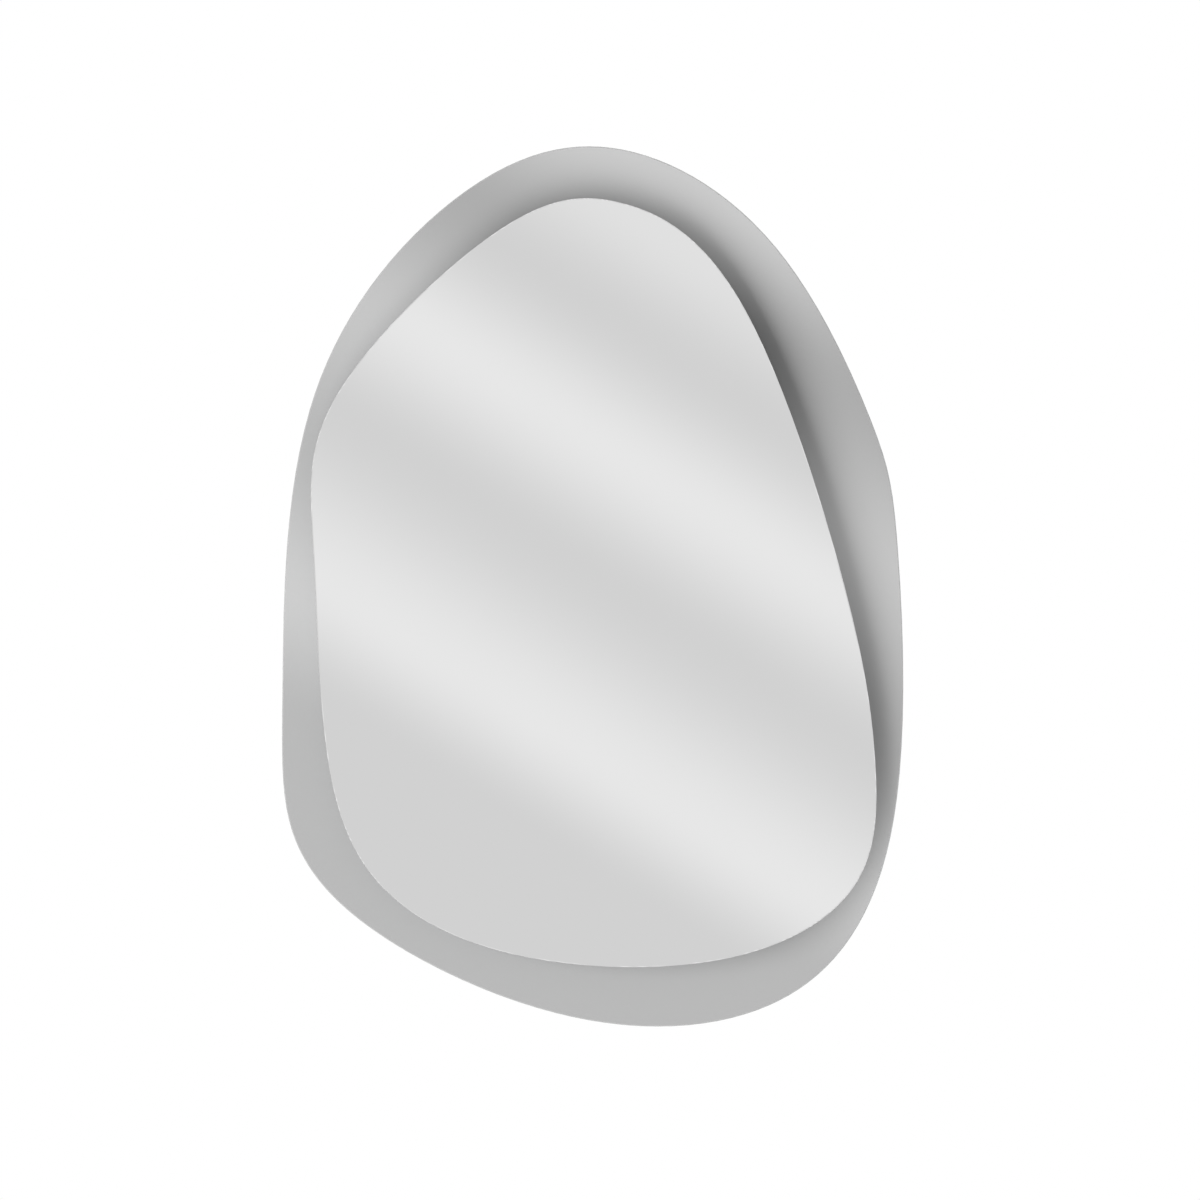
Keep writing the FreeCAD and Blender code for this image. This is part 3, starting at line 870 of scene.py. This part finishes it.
@dataclass
class MirrorPanel(Layer):
    """A sheet of frameless mirror: its face, the arris round it, its edge and its painted back."""

    finish: Finish = SilveredMirror()
    slot: Slot = Slot.SILVERED_GLASS
    arris: Finish = SilveredMirror()
    edge_slope: float = 0.5
    face_slope: float = 0.95

    def dress(self, piece: Piece) -> None:
        """Put mirror on the face and the arris, glass on the edge and paint on the back.

        Args:
            piece: The sheet.
        """
        super().dress(piece)
        dress_faces(piece, self.arris, lambda _, normal: -self.face_slope < normal.y < 0)
        dress_faces(piece, PolishedGlassEdge(), lambda _, normal: abs(normal.y) < self.edge_slope)
        dress_faces(piece, MirrorBackPaint(), lambda _, normal: normal.y > self.edge_slope)


@dataclass
class SafetyFilm(Layer):
    """Woven film on the back of a mirror, which holds the pieces if it breaks."""

    finish: Finish = WovenSafetyFilm()
    slot: Slot = Slot.SAFETY_FILM


@dataclass
class TapeStrips(Layer):
    """Strips of foam mounting tape between two layers."""

    finish: Finish = FoamTape()
    slot: Slot = Slot.FOAM_TAPE
    edge_mm: float = 0.15
    edge_steps: int = 1


@dataclass
class HookRail(Layer):
    """An extruded rail with a hooked lip, its edges broken as the die leaves them."""

    finish: Finish = ExtrudedAluminium()
    slot: Slot = Slot.ALUMINIUM
    edge_mm: float = 0.25


@dataclass
class Board(Layer):
    """A painted fibreboard behind a mirror, bare where it was drilled after painting."""

    finish: Finish = PaintedBoard()
    slot: Slot = Slot.BLACK_BOARD
    edge_mm: float = 0.4
    bores: tuple[Vector, ...] = ()
    bore_mm: float = 9.0
    skin_mm: float = 0.5

    def dress(self, piece: Piece) -> None:
        """Paint the board all over, and leave bare fibre inside its bores.

        Args:
            piece: The board.
        """
        super().dress(piece)
        low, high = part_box(self.node)
        skin, reach = self.skin_mm * MM, (self.bore_mm / 2 + self.edge_mm) * MM

        def bored(centre: Vector, _: Vector) -> bool:
            """Whether a face lies in a bore, below the painted skin."""
            deep = low[1] + skin < centre.y < high[1] - skin
            return deep and any((centre - bore).xz.length < reach for bore in self.bores)

        dress_faces(piece, BareFibreboard(), bored)


@dataclass
class AdhesiveBeads:
    """Beads of adhesive, squeezed flat, with round ends and slightly wandering sides."""

    node: str
    name: str
    count: int = 2
    width: float = 10.0
    end_rounding: float = 4.0
    end_steps: int = 6
    lip: float = 0.42
    lip_steps: int = 3
    wander: float = 1.1
    wave: float = 22.0
    cuts: int = 70

    def build(self, thickness: float, length: float) -> Piece:
        """Model one bead from a bar: round its ends, let its sides wander, and round its rims.

        Args:
            thickness: The bead's thickness, in metres.
            length: Its length, in metres.

        Returns:
            The bead, upright and centred on the origin.
        """
        width = (self.width - self.wander) * MM
        bead = start_piece(self.name, bpy.ops.mesh.primitive_cube_add, size=1)
        with editing(bead, "SELECT"):
            bpy.ops.transform.resize(value=(width, thickness, length))
            select_where(bead, Part.EDGES, lambda edge: extent(edge).y > thickness / 2)
            bpy.ops.mesh.bevel(
                offset=self.end_rounding * MM, segments=self.end_steps, affect="EDGES"
            )
            select_where(bead, Part.EDGES, lambda edge: extent(edge).z > length / 2)
            bpy.ops.mesh.subdivide(number_cuts=self.cuts)
        waves = bpy.data.textures.new(f"{self.name}_wander", "CLOUDS")
        waves.noise_scale = self.wave * MM
        apply_modifier(
            bead, "DISPLACE", texture=waves, texture_coords="GLOBAL", direction="X",
            strength=self.wander * MM, mid_level=0.5,
        )
        soften(bead, self.lip, self.lip_steps)
        return bead

    def make(self) -> None:
        """Build the bead, put a copy in each place, dress and install them."""
        low, high = (Vector(corner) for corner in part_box(self.node))
        size = high - low
        middle = Vector((0, size.y / 2, 0))
        places = [place - middle for place in spread(self.node, self.width, self.count, 1)]
        for piece in place_copies(self.build(size.y, size.z), self.name, places, turned=0):
            dress(piece, MirrorAdhesive())
            install(piece, Rider.MIRROR, self.node)


# --- turned pieces --------------------------------------------------------------------------


@dataclass
class TurnedPieces(ABC):
    """Small round pieces, one at each crossing of some columns and rows, with their axis along Y.

    They are modelled along Z. A section's corners are a distance from the axis and a height, from
    0 at the wall side down.
    """

    node: str
    name: str
    columns: int
    rows: int
    width: float
    finish: Finish = ZincPlatedSteel()
    slot: Slot = Slot.ZINC_STEEL
    steps: int = 48

    @abstractmethod
    def section(self) -> Section:
        """Draw the section that is turned."""

    def build(self) -> Piece:
        """Turn one."""
        return turn(self.name, self.section(), self.steps)

    def make(self) -> None:
        """Build one, put a copy in each place, dress and install them."""
        places = spread(self.node, self.width, self.columns, self.rows)
        for piece in place_copies(self.build(), self.name, places):
            dress(piece, self.finish)
            install(piece, Rider.MIRROR, self.node)


@dataclass(kw_only=True)
class Washers(TurnedPieces):
    """Flat washers with small chamfers."""

    hole: float
    thickness: float
    edge: float

    def section(self) -> Section:
        """Draw a flat ring's section.

        Returns:
            Its corners.
        """
        far, near, low, edge = self.width / 2, self.hole / 2, -self.thickness, self.edge
        return [
            (near + edge, 0), (far - edge, 0), (far, -edge), (far, low + edge), (far - edge, low),
            (near + edge, low), (near, low + edge), (near, -edge), (near + edge, 0),
        ]


@dataclass(kw_only=True)
class GlassBushes(TurnedPieces):
    """Nylon bushes: a sleeve through the glass and a flange in front of it, of the full width."""

    finish: Finish = MouldedNylon()
    slot: Slot = Slot.NYLON
    sleeve: float = 10.0
    sleeve_length: float = 6.3
    flange_thickness: float = 1.0
    bore: float = 6.6
    edge: float = 0.2

    def section(self) -> Section:
        """Draw the section of the sleeve and the flange.

        Returns:
            Its corners.
        """
        flange, sleeve, bore, edge = self.width / 2, self.sleeve / 2, self.bore / 2, self.edge
        seat = -self.sleeve_length
        end = seat - self.flange_thickness
        return [
            (bore + edge, 0), (sleeve - edge, 0), (sleeve, -edge), (sleeve, seat),
            (flange - edge, seat), (flange, seat - edge), (flange, end + edge),
            (flange - edge, end), (bore + edge, end), (bore, end + edge), (bore, -edge),
            (bore + edge, 0),
        ]


@dataclass(kw_only=True)
class RubberBumpers(TurnedPieces):
    """Rubber bumpers: a rounded rim with grip grooves, and a recess for the screw."""

    finish: Finish = MouldedRubber()
    slot: Slot = Slot.BLACK_RUBBER
    height: float = 7.8
    floor: float = 2.0
    recess: float = 12.0
    bore: float = 4.6
    rounding: float = 1.5
    round_steps: int = 6
    grooves: tuple[float, ...] = (3.4, 5.4)
    groove_depth: float = 0.4
    edge: float = 0.3

    def section(self) -> Section:
        """Draw the section, from the recess round the rim to the bore.

        Returns:
            Its corners.
        """
        rim, recess, bore, edge = self.width / 2, self.recess / 2, self.bore / 2, self.edge
        end, depth, rounding = -self.height, self.groove_depth, self.rounding
        points = [(recess + edge, 0)]
        for step in range(self.round_steps + 1):
            angle = QUARTER_TURN * step / self.round_steps
            out = rim - rounding + rounding * math.sin(angle)
            points.append((out, rounding * math.cos(angle) - rounding))
        for place in self.grooves:
            points += [(rim, depth - place), (rim - depth, -place), (rim, -place - depth)]
        points += [(rim, end + edge), (rim - edge, end), (bore, end), (bore, end + self.floor)]
        return points + [(recess, end + self.floor), (recess, -edge), (recess + edge, 0)]


@dataclass(kw_only=True)
class ThreadedInserts(TurnedPieces):
    """Brass inserts with two bands of straight knurl, pressed into the spacer board.

    Each band is given by where it starts and ends, from the wall side down.
    """

    finish: Finish = TurnedBrass()
    slot: Slot = Slot.BRASS
    steps: int = 60
    length: float = 10.0
    bore: float = 6.1
    countersink: float = 0.5
    knurl: float = 0.25
    groove_depth: float = 0.35
    run_out: float = 0.3
    collar: float = 0.3
    bands: tuple[tuple[float, float], ...] = ((0.8, 4.4), (5.6, 9.2))
    knurl_angle: float = math.radians(10)
    # How far off a band or a tooth an edge may lie, in mm and in teeth, and its least length.
    band_slack: float = 0.02
    tooth_slack: float = 0.1
    least_band: float = 3.0

    def section(self) -> Section:
        """Draw the section, with the bands at the foot of their teeth.

        Returns:
            Its corners.
        """
        foot, bore, end = self.width / 2 - self.knurl, self.bore / 2, -self.length
        groove, wide = foot - self.groove_depth, bore + self.countersink
        (first, second), (third, fourth) = self.bands
        return [
            (wide, end), (groove, end), (foot, -fourth), (foot, -third),
            (groove, self.run_out - third), (groove, -second - self.run_out), (foot, -second),
            (foot, -first), (groove, -self.collar), (groove, 0), (wide, 0),
            (bore, -self.countersink), (bore, end + self.countersink), (wide, end),
        ]

    def on_tooth(self, edge: Edge) -> bool:
        """Say whether an edge is the top of a tooth.

        Args:
            edge: An edge of the turned body.

        Returns:
            True for every second of the long edges round a band.
        """
        corner, reach = edge.verts[0].co, extent(edge)
        outer = corner.xy.length > (self.width / 2 - self.knurl - self.band_slack) * MM
        long = reach.xy.length < MERGE_DISTANCE and reach.z > self.least_band * MM
        tooth = math.atan2(corner.y, corner.x) / (math.tau * 2 / self.steps)
        return outer and long and abs(tooth - round(tooth)) < self.tooth_slack

    def build(self) -> Piece:
        """Turn the body, then raise every second edge of each band into a tooth.

        Returns:
            The insert.
        """
        body = super().build()
        raised = self.width / (self.width - 2 * self.knurl)
        with editing(body):
            select_where(body, Part.EDGES, self.on_tooth)
            bpy.ops.transform.resize(value=(raised, raised, 1), center_override=(0, 0, 0))
        bpy.ops.object.shade_smooth_by_angle(angle=self.knurl_angle)
        return body


@dataclass(kw_only=True)
class PanHeadScrews(TurnedPieces):
    """Pan head screws with a cross recess and a rolled thread, heads of the full width."""

    steps: int = 40
    diameter: float
    head_height: float
    length: float
    pitch: float
    point: float
    blunt: float
    recess_width: float
    recess_depth: float = 1.6
    recess_arm: float = 0.9
    recess_taper: float = 0.55
    thread_depth: float = 0.55
    thread_steps: int = 24
    # Share of the pitch, and share of the thread's depth, of each corner of the thread.
    thread_form: tuple[tuple[float, float], ...] = (
        (0, 0), (0.2, 0), (0.47, 1), (0.63, 1), (0.9, 0), (1, 0),
    )
    # The thread starts this many pitches below the cut, so that the cut meets no edge.
    run_in: float = 2.03
    dome_share: float = 0.6
    dome_fullness: float = 0.8
    dome_steps: int = 7
    rim_edge: float = 0.15
    stub_share: float = 0.9
    tip_share: float = 0.98

    def core(self) -> float:
        """Radius of the thread's core."""
        return self.diameter / 2 - self.thread_depth

    def section(self) -> Section:
        """Draw the head: a low dome over a short rim, and a stub that reaches into the thread.

        Returns:
            The section's corners.
        """
        radius, base, edge = self.width / 2, -self.head_height, self.rim_edge
        stub = self.core() * self.stub_share
        points = [(0, 0)]
        for step in range(1, self.dome_steps + 1):
            angle = QUARTER_TURN * step / self.dome_steps
            out = radius * math.sin(angle) ** self.dome_fullness
            points.append((out, base * self.dome_share * (1 - math.cos(angle))))
        points += [(radius, base + edge), (radius - edge, base), (stub, base)]
        return points + [(stub, base - self.pitch), (0, base - self.pitch)]

    def recess(self, turned: float) -> Piece:
        """Shape one tapered bar of the cross recess.

        Args:
            turned: How far the bar is turned about the screw's axis, in radians.

        Returns:
            The cutter.
        """
        depth = self.recess_depth * 2
        cutter = start_piece(f"{self.name}_recess", bpy.ops.mesh.primitive_cube_add, size=1)
        with editing(cutter, "SELECT"):
            size = Vector((self.recess_width, self.recess_arm, depth)) * MM
            bpy.ops.transform.resize(value=size)
            select_where(cutter, Part.FACES, lambda face: face.normal.z < FACES_DOWN)
            taper = (self.recess_taper, self.recess_taper, 1)
            bpy.ops.transform.resize(value=taper, center_override=(0, 0, -depth / 2 * MM))
        cutter.rotation_euler = (0, 0, turned)
        select_only(cutter)
        bpy.ops.object.transform_apply(location=False, rotation=True, scale=False)
        return cutter

    def shank(self) -> Piece:
        """Roll the thread: one pitch of it, wound down the screw and cut off square.

        Returns:
            The thread, a closed skin.
        """
        core, depth, pitch = self.core(), self.thread_depth, self.pitch
        form = [(core + depth * out, pitch * up) for up, out in self.thread_form]
        piece = trace(f"{self.name}_thread", form)
        top = -self.head_height
        bottom = top - self.length + self.point
        with editing(piece, "SELECT"):
            start = (bottom - pitch * self.run_in) * MM
            bpy.ops.transform.translate(value=(0, 0, start))
        apply_modifier(
            piece, "SCREW", axis="Z", angle=math.tau, screw_offset=pitch * MM,
            iterations=math.ceil((top - bottom) / pitch) + math.ceil(self.run_in),
            steps=self.thread_steps, render_steps=self.thread_steps, use_merge_vertices=True,
            merge_threshold=MERGE_DISTANCE,
        )
        with editing(piece, "SELECT"):
            bpy.ops.mesh.remove_doubles(threshold=MERGE_DISTANCE)
            for height, outwards in ((top, 1), (bottom, -1)):
                bpy.ops.mesh.select_all(action="SELECT")
                bpy.ops.mesh.bisect(
                    plane_co=(0, 0, height * MM), plane_no=(0, 0, outwards),
                    use_fill=True, clear_outer=True, threshold=MERGE_DISTANCE,
                )
            bpy.ops.mesh.select_all(action="SELECT")
            bpy.ops.mesh.normals_make_consistent(inside=False)
        bpy.ops.object.shade_smooth_by_angle(angle=SMOOTH_ANGLE)
        return piece

    def tip(self) -> Piece:
        """Turn the point: a cone from the thread's core.

        Returns:
            The point, which reaches half a pitch into the thread.
        """
        core = self.core() * self.tip_share
        end = -self.head_height - self.length
        start = end + self.point + self.pitch / 2
        points = [(0, start), (core, start), (core, end + self.point)]
        points += [(core * self.blunt, end), (0, end)]
        return turn(f"{self.name}_tip", points, self.thread_steps)

    def build(self) -> Piece:
        """Cut the recess in the head, and join the thread and the point to it.

        Returns:
            The screw.
        """
        screw = super().build()
        for turned in (0, QUARTER_TURN):
            cut(screw, self.recess(turned))
        thread, tip = self.shank(), self.tip()
        select_only(screw)
        thread.select_set(True)
        tip.select_set(True)
        bpy.ops.object.join()
        bpy.ops.object.shade_smooth_by_angle(angle=SMOOTH_ANGLE)
        return screw


@dataclass(kw_only=True)
class WoodScrews(PanHeadScrews):
    """The 4 x 12 mm screws in the mirror's rail and in the bumpers."""

    rows: int = 1
    width: float = 8.0
    diameter: float = 4.0
    head_height: float = 2.7
    length: float = 12.0
    pitch: float = 1.8
    point: float = 3.0
    blunt: float = 0.12
    recess_width: float = 2.6


@dataclass(kw_only=True)
class MachineScrews(PanHeadScrews):
    """The M6 screws that join the two panels."""

    width: float = 12.0
    diameter: float = 6.0
    head_height: float = 3.6
    length: float = 24.9
    pitch: float = 1.0
    point: float = 0.6
    blunt: float = 0.7
    recess_width: float = 3.8


# --- the mirror's sub-assemblies ------------------------------------------------------------


@dataclass
class HangingHardware:
    """The rails, the screws in them and the bumpers: what holds the mirror on the wall."""

    rail_screws: int = 4
    bumpers: int = 2
    bumper_width: float = 20.0
    washer_width: float = 10.0

    def make(self) -> None:
        """Make the rails, then the screws, then the bumpers with what holds them."""
        HookRail("wall_rail", "wall_hook_rail", rider=Rider.WALL).make()
        HookRail("mirror_rail", "mirror_hook_rail").make()
        WoodScrews(node="mirror_rail_screws", name="rail_screw", columns=self.rail_screws).make()
        RubberBumpers("wall_bumpers", "rubber_bumper", self.bumpers, 1, self.bumper_width).make()
        Washers(
            "bumper_washers", "bumper_washer", self.bumpers, 1, self.washer_width,
            hole=4.6, thickness=0.8, edge=0.15,
        ).make()
        WoodScrews(node="bumper_screws", name="bumper_screw", columns=self.bumpers).make()


@dataclass
class JoiningHardware:
    """The four screws that join the two panels, with what they pass through and bite in."""

    washer_width: float = 13.0
    flange_width: float = 16.0
    insert_width: float = 9.0

    def make(self) -> None:
        """Make the screws, washers, bushes and inserts."""
        MachineScrews("joining_screws", "joining_screw", *JOINT_GRID).make()
        Washers(
            "joining_washers", "joining_washer", *JOINT_GRID, self.washer_width,
            hole=6.6, thickness=1.6, edge=0.2,
        ).make()
        GlassBushes("glass_bushes", "glass_bush", *JOINT_GRID, self.flange_width).make()
        ThreadedInserts(
            "threaded_inserts", "threaded_insert", *JOINT_GRID, self.insert_width
        ).make()


@dataclass
class Mirrors:
    """The two panels with all that is bonded behind them."""

    head_bore: float = 14.0
    insert_bore: float = 9.0

    def make(self) -> None:
        """Make the layers from the wall outwards."""
        bores = tuple(spread("joining_screws", MachineScrews.width, *JOINT_GRID))
        Board("backing_board", "rear_board", bores=bores, bore_mm=self.head_bore).make()
        TapeStrips("rear_foam_tape", "rear_tape").make()
        AdhesiveBeads("rear_adhesive_beads", "rear_bead").make()
        SafetyFilm("rear_safety_film", "rear_film").make()
        MirrorPanel(
            "rear_mirror_glass", "rear_mirror", SatinGreyMirror(), Slot.SATIN_GREY_MIRROR,
            arris=PolishedArris(),
        ).make()
        TapeStrips("spacer_foam_tape", "spacer_tape").make()
        Board("spacer_board", "front_board", bores=bores, bore_mm=self.insert_bore).make()
        TapeStrips("front_foam_tape", "front_tape").make()
        AdhesiveBeads("front_adhesive_beads", "front_bead").make()
        SafetyFilm("front_safety_film", "front_film").make()
        MirrorPanel("front_mirror_glass", "front_mirror").make()


# --- studio ---------------------------------------------------------------------------------


@dataclass(frozen=True)
class Framing:
    """How the photograph frames the mirror: straight on, from far enough to look flat."""

    picture_px: int = 1200
    mm_per_px: float = 0.96475
    rear_centre_px: tuple[float, float] = (592.6, 586.4)
    distance: float = 8.0
    sensor_mm: float = 36.0
    view_depth: float = 100.0

    def place(self) -> Vector:
        """Find where the camera stands, level with the middle of the picture.

        Returns:
            The camera's place.
        """
        low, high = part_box("rear_mirror_glass")
        step, middle = self.mm_per_px * MM, self.picture_px / 2
        x = (low[0] + high[0]) / 2 + (middle - self.rear_centre_px[0]) * step
        z = (low[2] + high[2]) / 2 - (middle - self.rear_centre_px[1]) * step
        return Vector((x, -self.distance, z))

    def build(self) -> None:
        """Make the camera, level and looking along +Y, with the panels at the right scale."""
        data = bpy.data.cameras.new("studio_camera")
        camera = add_object("studio_camera", data)
        camera.location = self.place()
        camera.rotation_euler = (QUARTER_TURN, 0, 0)
        rear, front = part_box("rear_mirror_glass")[0][1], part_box("front_mirror_glass")[0][1]
        reach = self.distance + (rear + front) / 2
        data.sensor_width = self.sensor_mm
        data.lens = self.sensor_mm * reach / (self.picture_px * self.mm_per_px * MM)
        data.clip_end = self.view_depth
        bpy.context.scene.camera = camera


@dataclass(frozen=True)
class SoftBands:
    """Slanting soft bands of light: how steep they are, and how bright they are where.

    Each stop is a distance in mm across the bands from the middle of the picture, downwards
    positive, as they lie on the mirror, and a share of the way from dark to bright.
    """

    slope: float
    stops: tuple[tuple[float, float], ...]
    span_mm: float

    def across(self) -> Vector:
        """Unit vector across the bands, upwards, seen from the front."""
        return Vector((self.slope, 0, 1)).normalized()

    def wire(
        self, tree: Tree, offset: Socket, distance: float, colour: Callable[[float], tuple],
        repeat: bool,
    ) -> Socket:
        """Turn a slant into the bands' colour.

        Args:
            tree: The world's or light's tree.
            offset: How far up across the bands a direction lies.
            distance: From the camera to the wall, which the bands are laid out for.
            colour: Gives the colour for a share from 0 to 1.
            repeat: Whether the bands start again past their end.

        Returns:
            The socket that carries the colour.
        """
        start = self.stops[0][0]
        along = {0: offset, 1: -distance / MM / self.span_mm, 2: -start / self.span_mm}
        share = add_node(tree, "Math", along, operation="MULTIPLY_ADD").outputs[0]
        if repeat:
            share = add_node(tree, "Math", {0: share}, operation="FRACT").outputs[0]
        ramp = add_node(tree, "ValToRGB", {"Fac": share})
        ramp.color_ramp.interpolation = "EASE"
        elements = ramp.color_ramp.elements
        elements.remove(elements[-1])
        elements[0].color = colour(self.stops[0][1])
        for place, level in self.stops[1:]:
            elements.new((place - start) / self.span_mm).color = colour(level)
        return ramp.outputs["Color"]


@dataclass(frozen=True)
class Surroundings:
    """The white studio round the mirror, as it looks in its mirrors and as it lights it."""

    bands: SoftBands = SoftBands(
        slope=0.637,
        stops=((-519, 0), (-334, 0.69), (-238, 0), (-128, 1), (-20, 0), (133, 1), (225, 0)),
        span_mm=1140,
    )
    dark: str = "#D1D1D1"
    bright: str = "#E7E7E7"
    silver_reflectance: float = 0.93
    backdrop: float = 1.0
    ambient: float = 0.26

    def reflected(self, level: float) -> tuple[float, float, float, float]:
        """Find the brightness that the silver mirror shows as a share from dark to bright.

        Args:
            level: The share.

        Returns:
            The colour to reflect.
        """
        dark, bright = linear(self.dark)[0], linear(self.bright)[0]
        value = (dark + (bright - dark) * level) / self.silver_reflectance
        return (value, value, value, 1.0)

    def build(self, distance: float) -> None:
        """Make the world: plain white to look at, soft bands in the mirrors, and dim fill light.

        Args:
            distance: From the camera to the wall.
        """
        world = bpy.data.worlds.new("studio")
        bpy.context.scene.world = world
        world.use_nodes = True
        tree = world.node_tree
        tree.nodes.clear()
        slanted = {0: add_node(tree, "TexCoord").outputs["Generated"], 1: self.bands.across()}
        slant = add_node(tree, "VectorMath", slanted, operation="DOT_PRODUCT").outputs["Value"]
        angle = add_node(tree, "Math", {0: slant}, operation="ARCSINE").outputs[0]
        colour = self.bands.wire(tree, angle, distance, self.reflected, repeat=True)
        seen, mirrored, fill = (
            add_node(tree, "Background", {"Color": shade, "Strength": strength}).outputs[0]
            for shade, strength in ((WHITE, self.backdrop), (colour, 1.0), (WHITE, self.ambient))
        )
        rays = add_node(tree, "LightPath").outputs
        lit = {0: rays["Is Glossy Ray"], 1: fill, 2: mirrored}
        shown = {0: rays["Is Camera Ray"], 1: add_node(tree, "MixShader", lit).outputs[0], 2: seen}
        surface = add_node(tree, "MixShader", shown).outputs[0]
        add_node(tree, "OutputWorld", {"Surface": surface})


def add_light(name: str, kind: str, power: float) -> Piece:
    """Add a light that shows neither to the camera nor in the mirrors.

    Args:
        name: The light's name.
        kind: The light's type.
        power: Its power, in watts.

    Returns:
        The light's object.
    """
    data = bpy.data.lights.new(name, kind)
    data.energy = power
    light = add_object(name, data)
    light.visible_camera = False
    light.visible_glossy = False
    return light


@dataclass(frozen=True)
class SoftBox:
    """A large soft light, given by the direction that it comes from.

    The azimuth goes round in the wall's plane, from +X towards +Z, and the elevation is out from
    the wall, both in degrees.
    """

    name: str
    azimuth: float
    elevation: float
    width: float
    height: float
    distance: float
    power: float

    def build(self, target: Vector) -> None:
        """Hang the light and turn it to a target.

        Args:
            target: The point that it lights.
        """
        round_wall, off_wall = math.radians(self.azimuth), math.radians(self.elevation)
        reach, across, up = math.cos(off_wall), math.cos(round_wall), math.sin(round_wall)
        away = Vector((reach * across, -math.sin(off_wall), reach * up))
        side = Vector((-up, 0, across))
        light = add_light(self.name, "AREA", self.power)
        light.data.shape = "RECTANGLE"
        light.data.size, light.data.size_y = self.width, self.height
        turned = Matrix((side, away.cross(side), away)).transposed()
        light.matrix_world = Matrix.Translation(target + away * self.distance) @ turned.to_4x4()


@dataclass(frozen=True)
class BandProjector:
    """A projector by the camera that lays soft slanting bands on the satin mirror."""

    bands: SoftBands = SoftBands(
        slope=0.49,
        stops=((-406, 1), (-294, 0), (-152, 0.77), (-9, 0.37), (125, 1), (235, 0.32)),
        span_mm=900,
    )
    power: float = 1260.0
    cone_degrees: float = 11.0
    cone_softness: float = 0.1
    lamp_size: float = 0.01

    def build(self, place: Vector, distance: float) -> None:
        """Stand the projector at a place, aimed along +Y.

        Args:
            place: Where it stands.
            distance: From there to the wall.
        """
        projector = add_light("band_projector", "SPOT", self.power)
        projector.location = place
        projector.rotation_euler = (QUARTER_TURN, 0, 0)
        data = projector.data
        data.spot_size, data.spot_blend = math.radians(self.cone_degrees), self.cone_softness
        data.shadow_soft_size = self.lamp_size
        data.use_nodes = True
        tree = data.node_tree
        tree.nodes.clear()
        across = self.bands.across()
        slanted = {0: add_node(tree, "TexCoord").outputs["Normal"], 1: (across.x, across.z, 0.0)}
        slant = add_node(tree, "VectorMath", slanted, operation="DOT_PRODUCT").outputs["Value"]
        colour = self.bands.wire(
            tree, slant, distance, lambda level: (level, level, level, 1.0), repeat=False
        )
        emission = add_node(tree, "Emission", {"Color": colour, "Strength": 1.0}).outputs[0]
        add_node(tree, "OutputLight", {"Surface": emission})


@dataclass(frozen=True)
class StudioFloor:
    """A round floor far below the mirror, out of the picture, which blocks none of its light."""

    drop: float = 1.5
    radius: float = 5.0
    corners: int = 96
    rim_share: float = 0.1

    def build(self, above: Vector) -> None:
        """Lay the floor below a point.

        Args:
            above: The point.
        """
        floor = start_piece(
            "studio_floor", bpy.ops.mesh.primitive_circle_add,
            vertices=self.corners, radius=self.radius, fill_type="NGON",
        )
        with editing(floor, "SELECT"):
            bpy.ops.mesh.inset(thickness=self.radius * self.rim_share)
            bpy.ops.mesh.select_all(action="SELECT")
            bpy.ops.transform.translate(value=(above.x, 0, above.z - self.drop))
        dress(floor, PaleStudioFloor())
        floor.visible_shadow = False
        floor.visible_glossy = False
        floor.visible_diffuse = False


@dataclass
class Studio:
    """The camera, the lights and the floor."""

    framing: Framing = Framing()
    key: SoftBox = SoftBox(
        "key_softbox", azimuth=209, elevation=44, width=33.6, height=14.0, distance=20.0, power=6170
    )
    back_fill: SoftBox = SoftBox(
        "back_fill", azimuth=60, elevation=-50, width=3.0, height=3.0, distance=4.0, power=110
    )

    def make(self) -> None:
        """Set the studio up round the mirror."""
        self.framing.build()
        place, distance = self.framing.place(), self.framing.distance
        middle = Vector((0, 0, place.z))
        Surroundings().build(distance)
        self.key.build(middle)
        self.back_fill.build(middle)
        BandProjector().build(place, distance)
        StudioFloor().build(middle)
        bpy.context.scene.view_settings.view_transform = "Standard"


def main() -> None:
    """Build the mirror from the wall outwards, then the studio round it."""
    logging.basicConfig(level=logging.INFO, format="%(message)s")
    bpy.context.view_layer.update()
    HangingHardware().make()
    JoiningHardware().make()
    Mirrors().make()
    Studio().make()


if __name__ == "__main__":
    main()
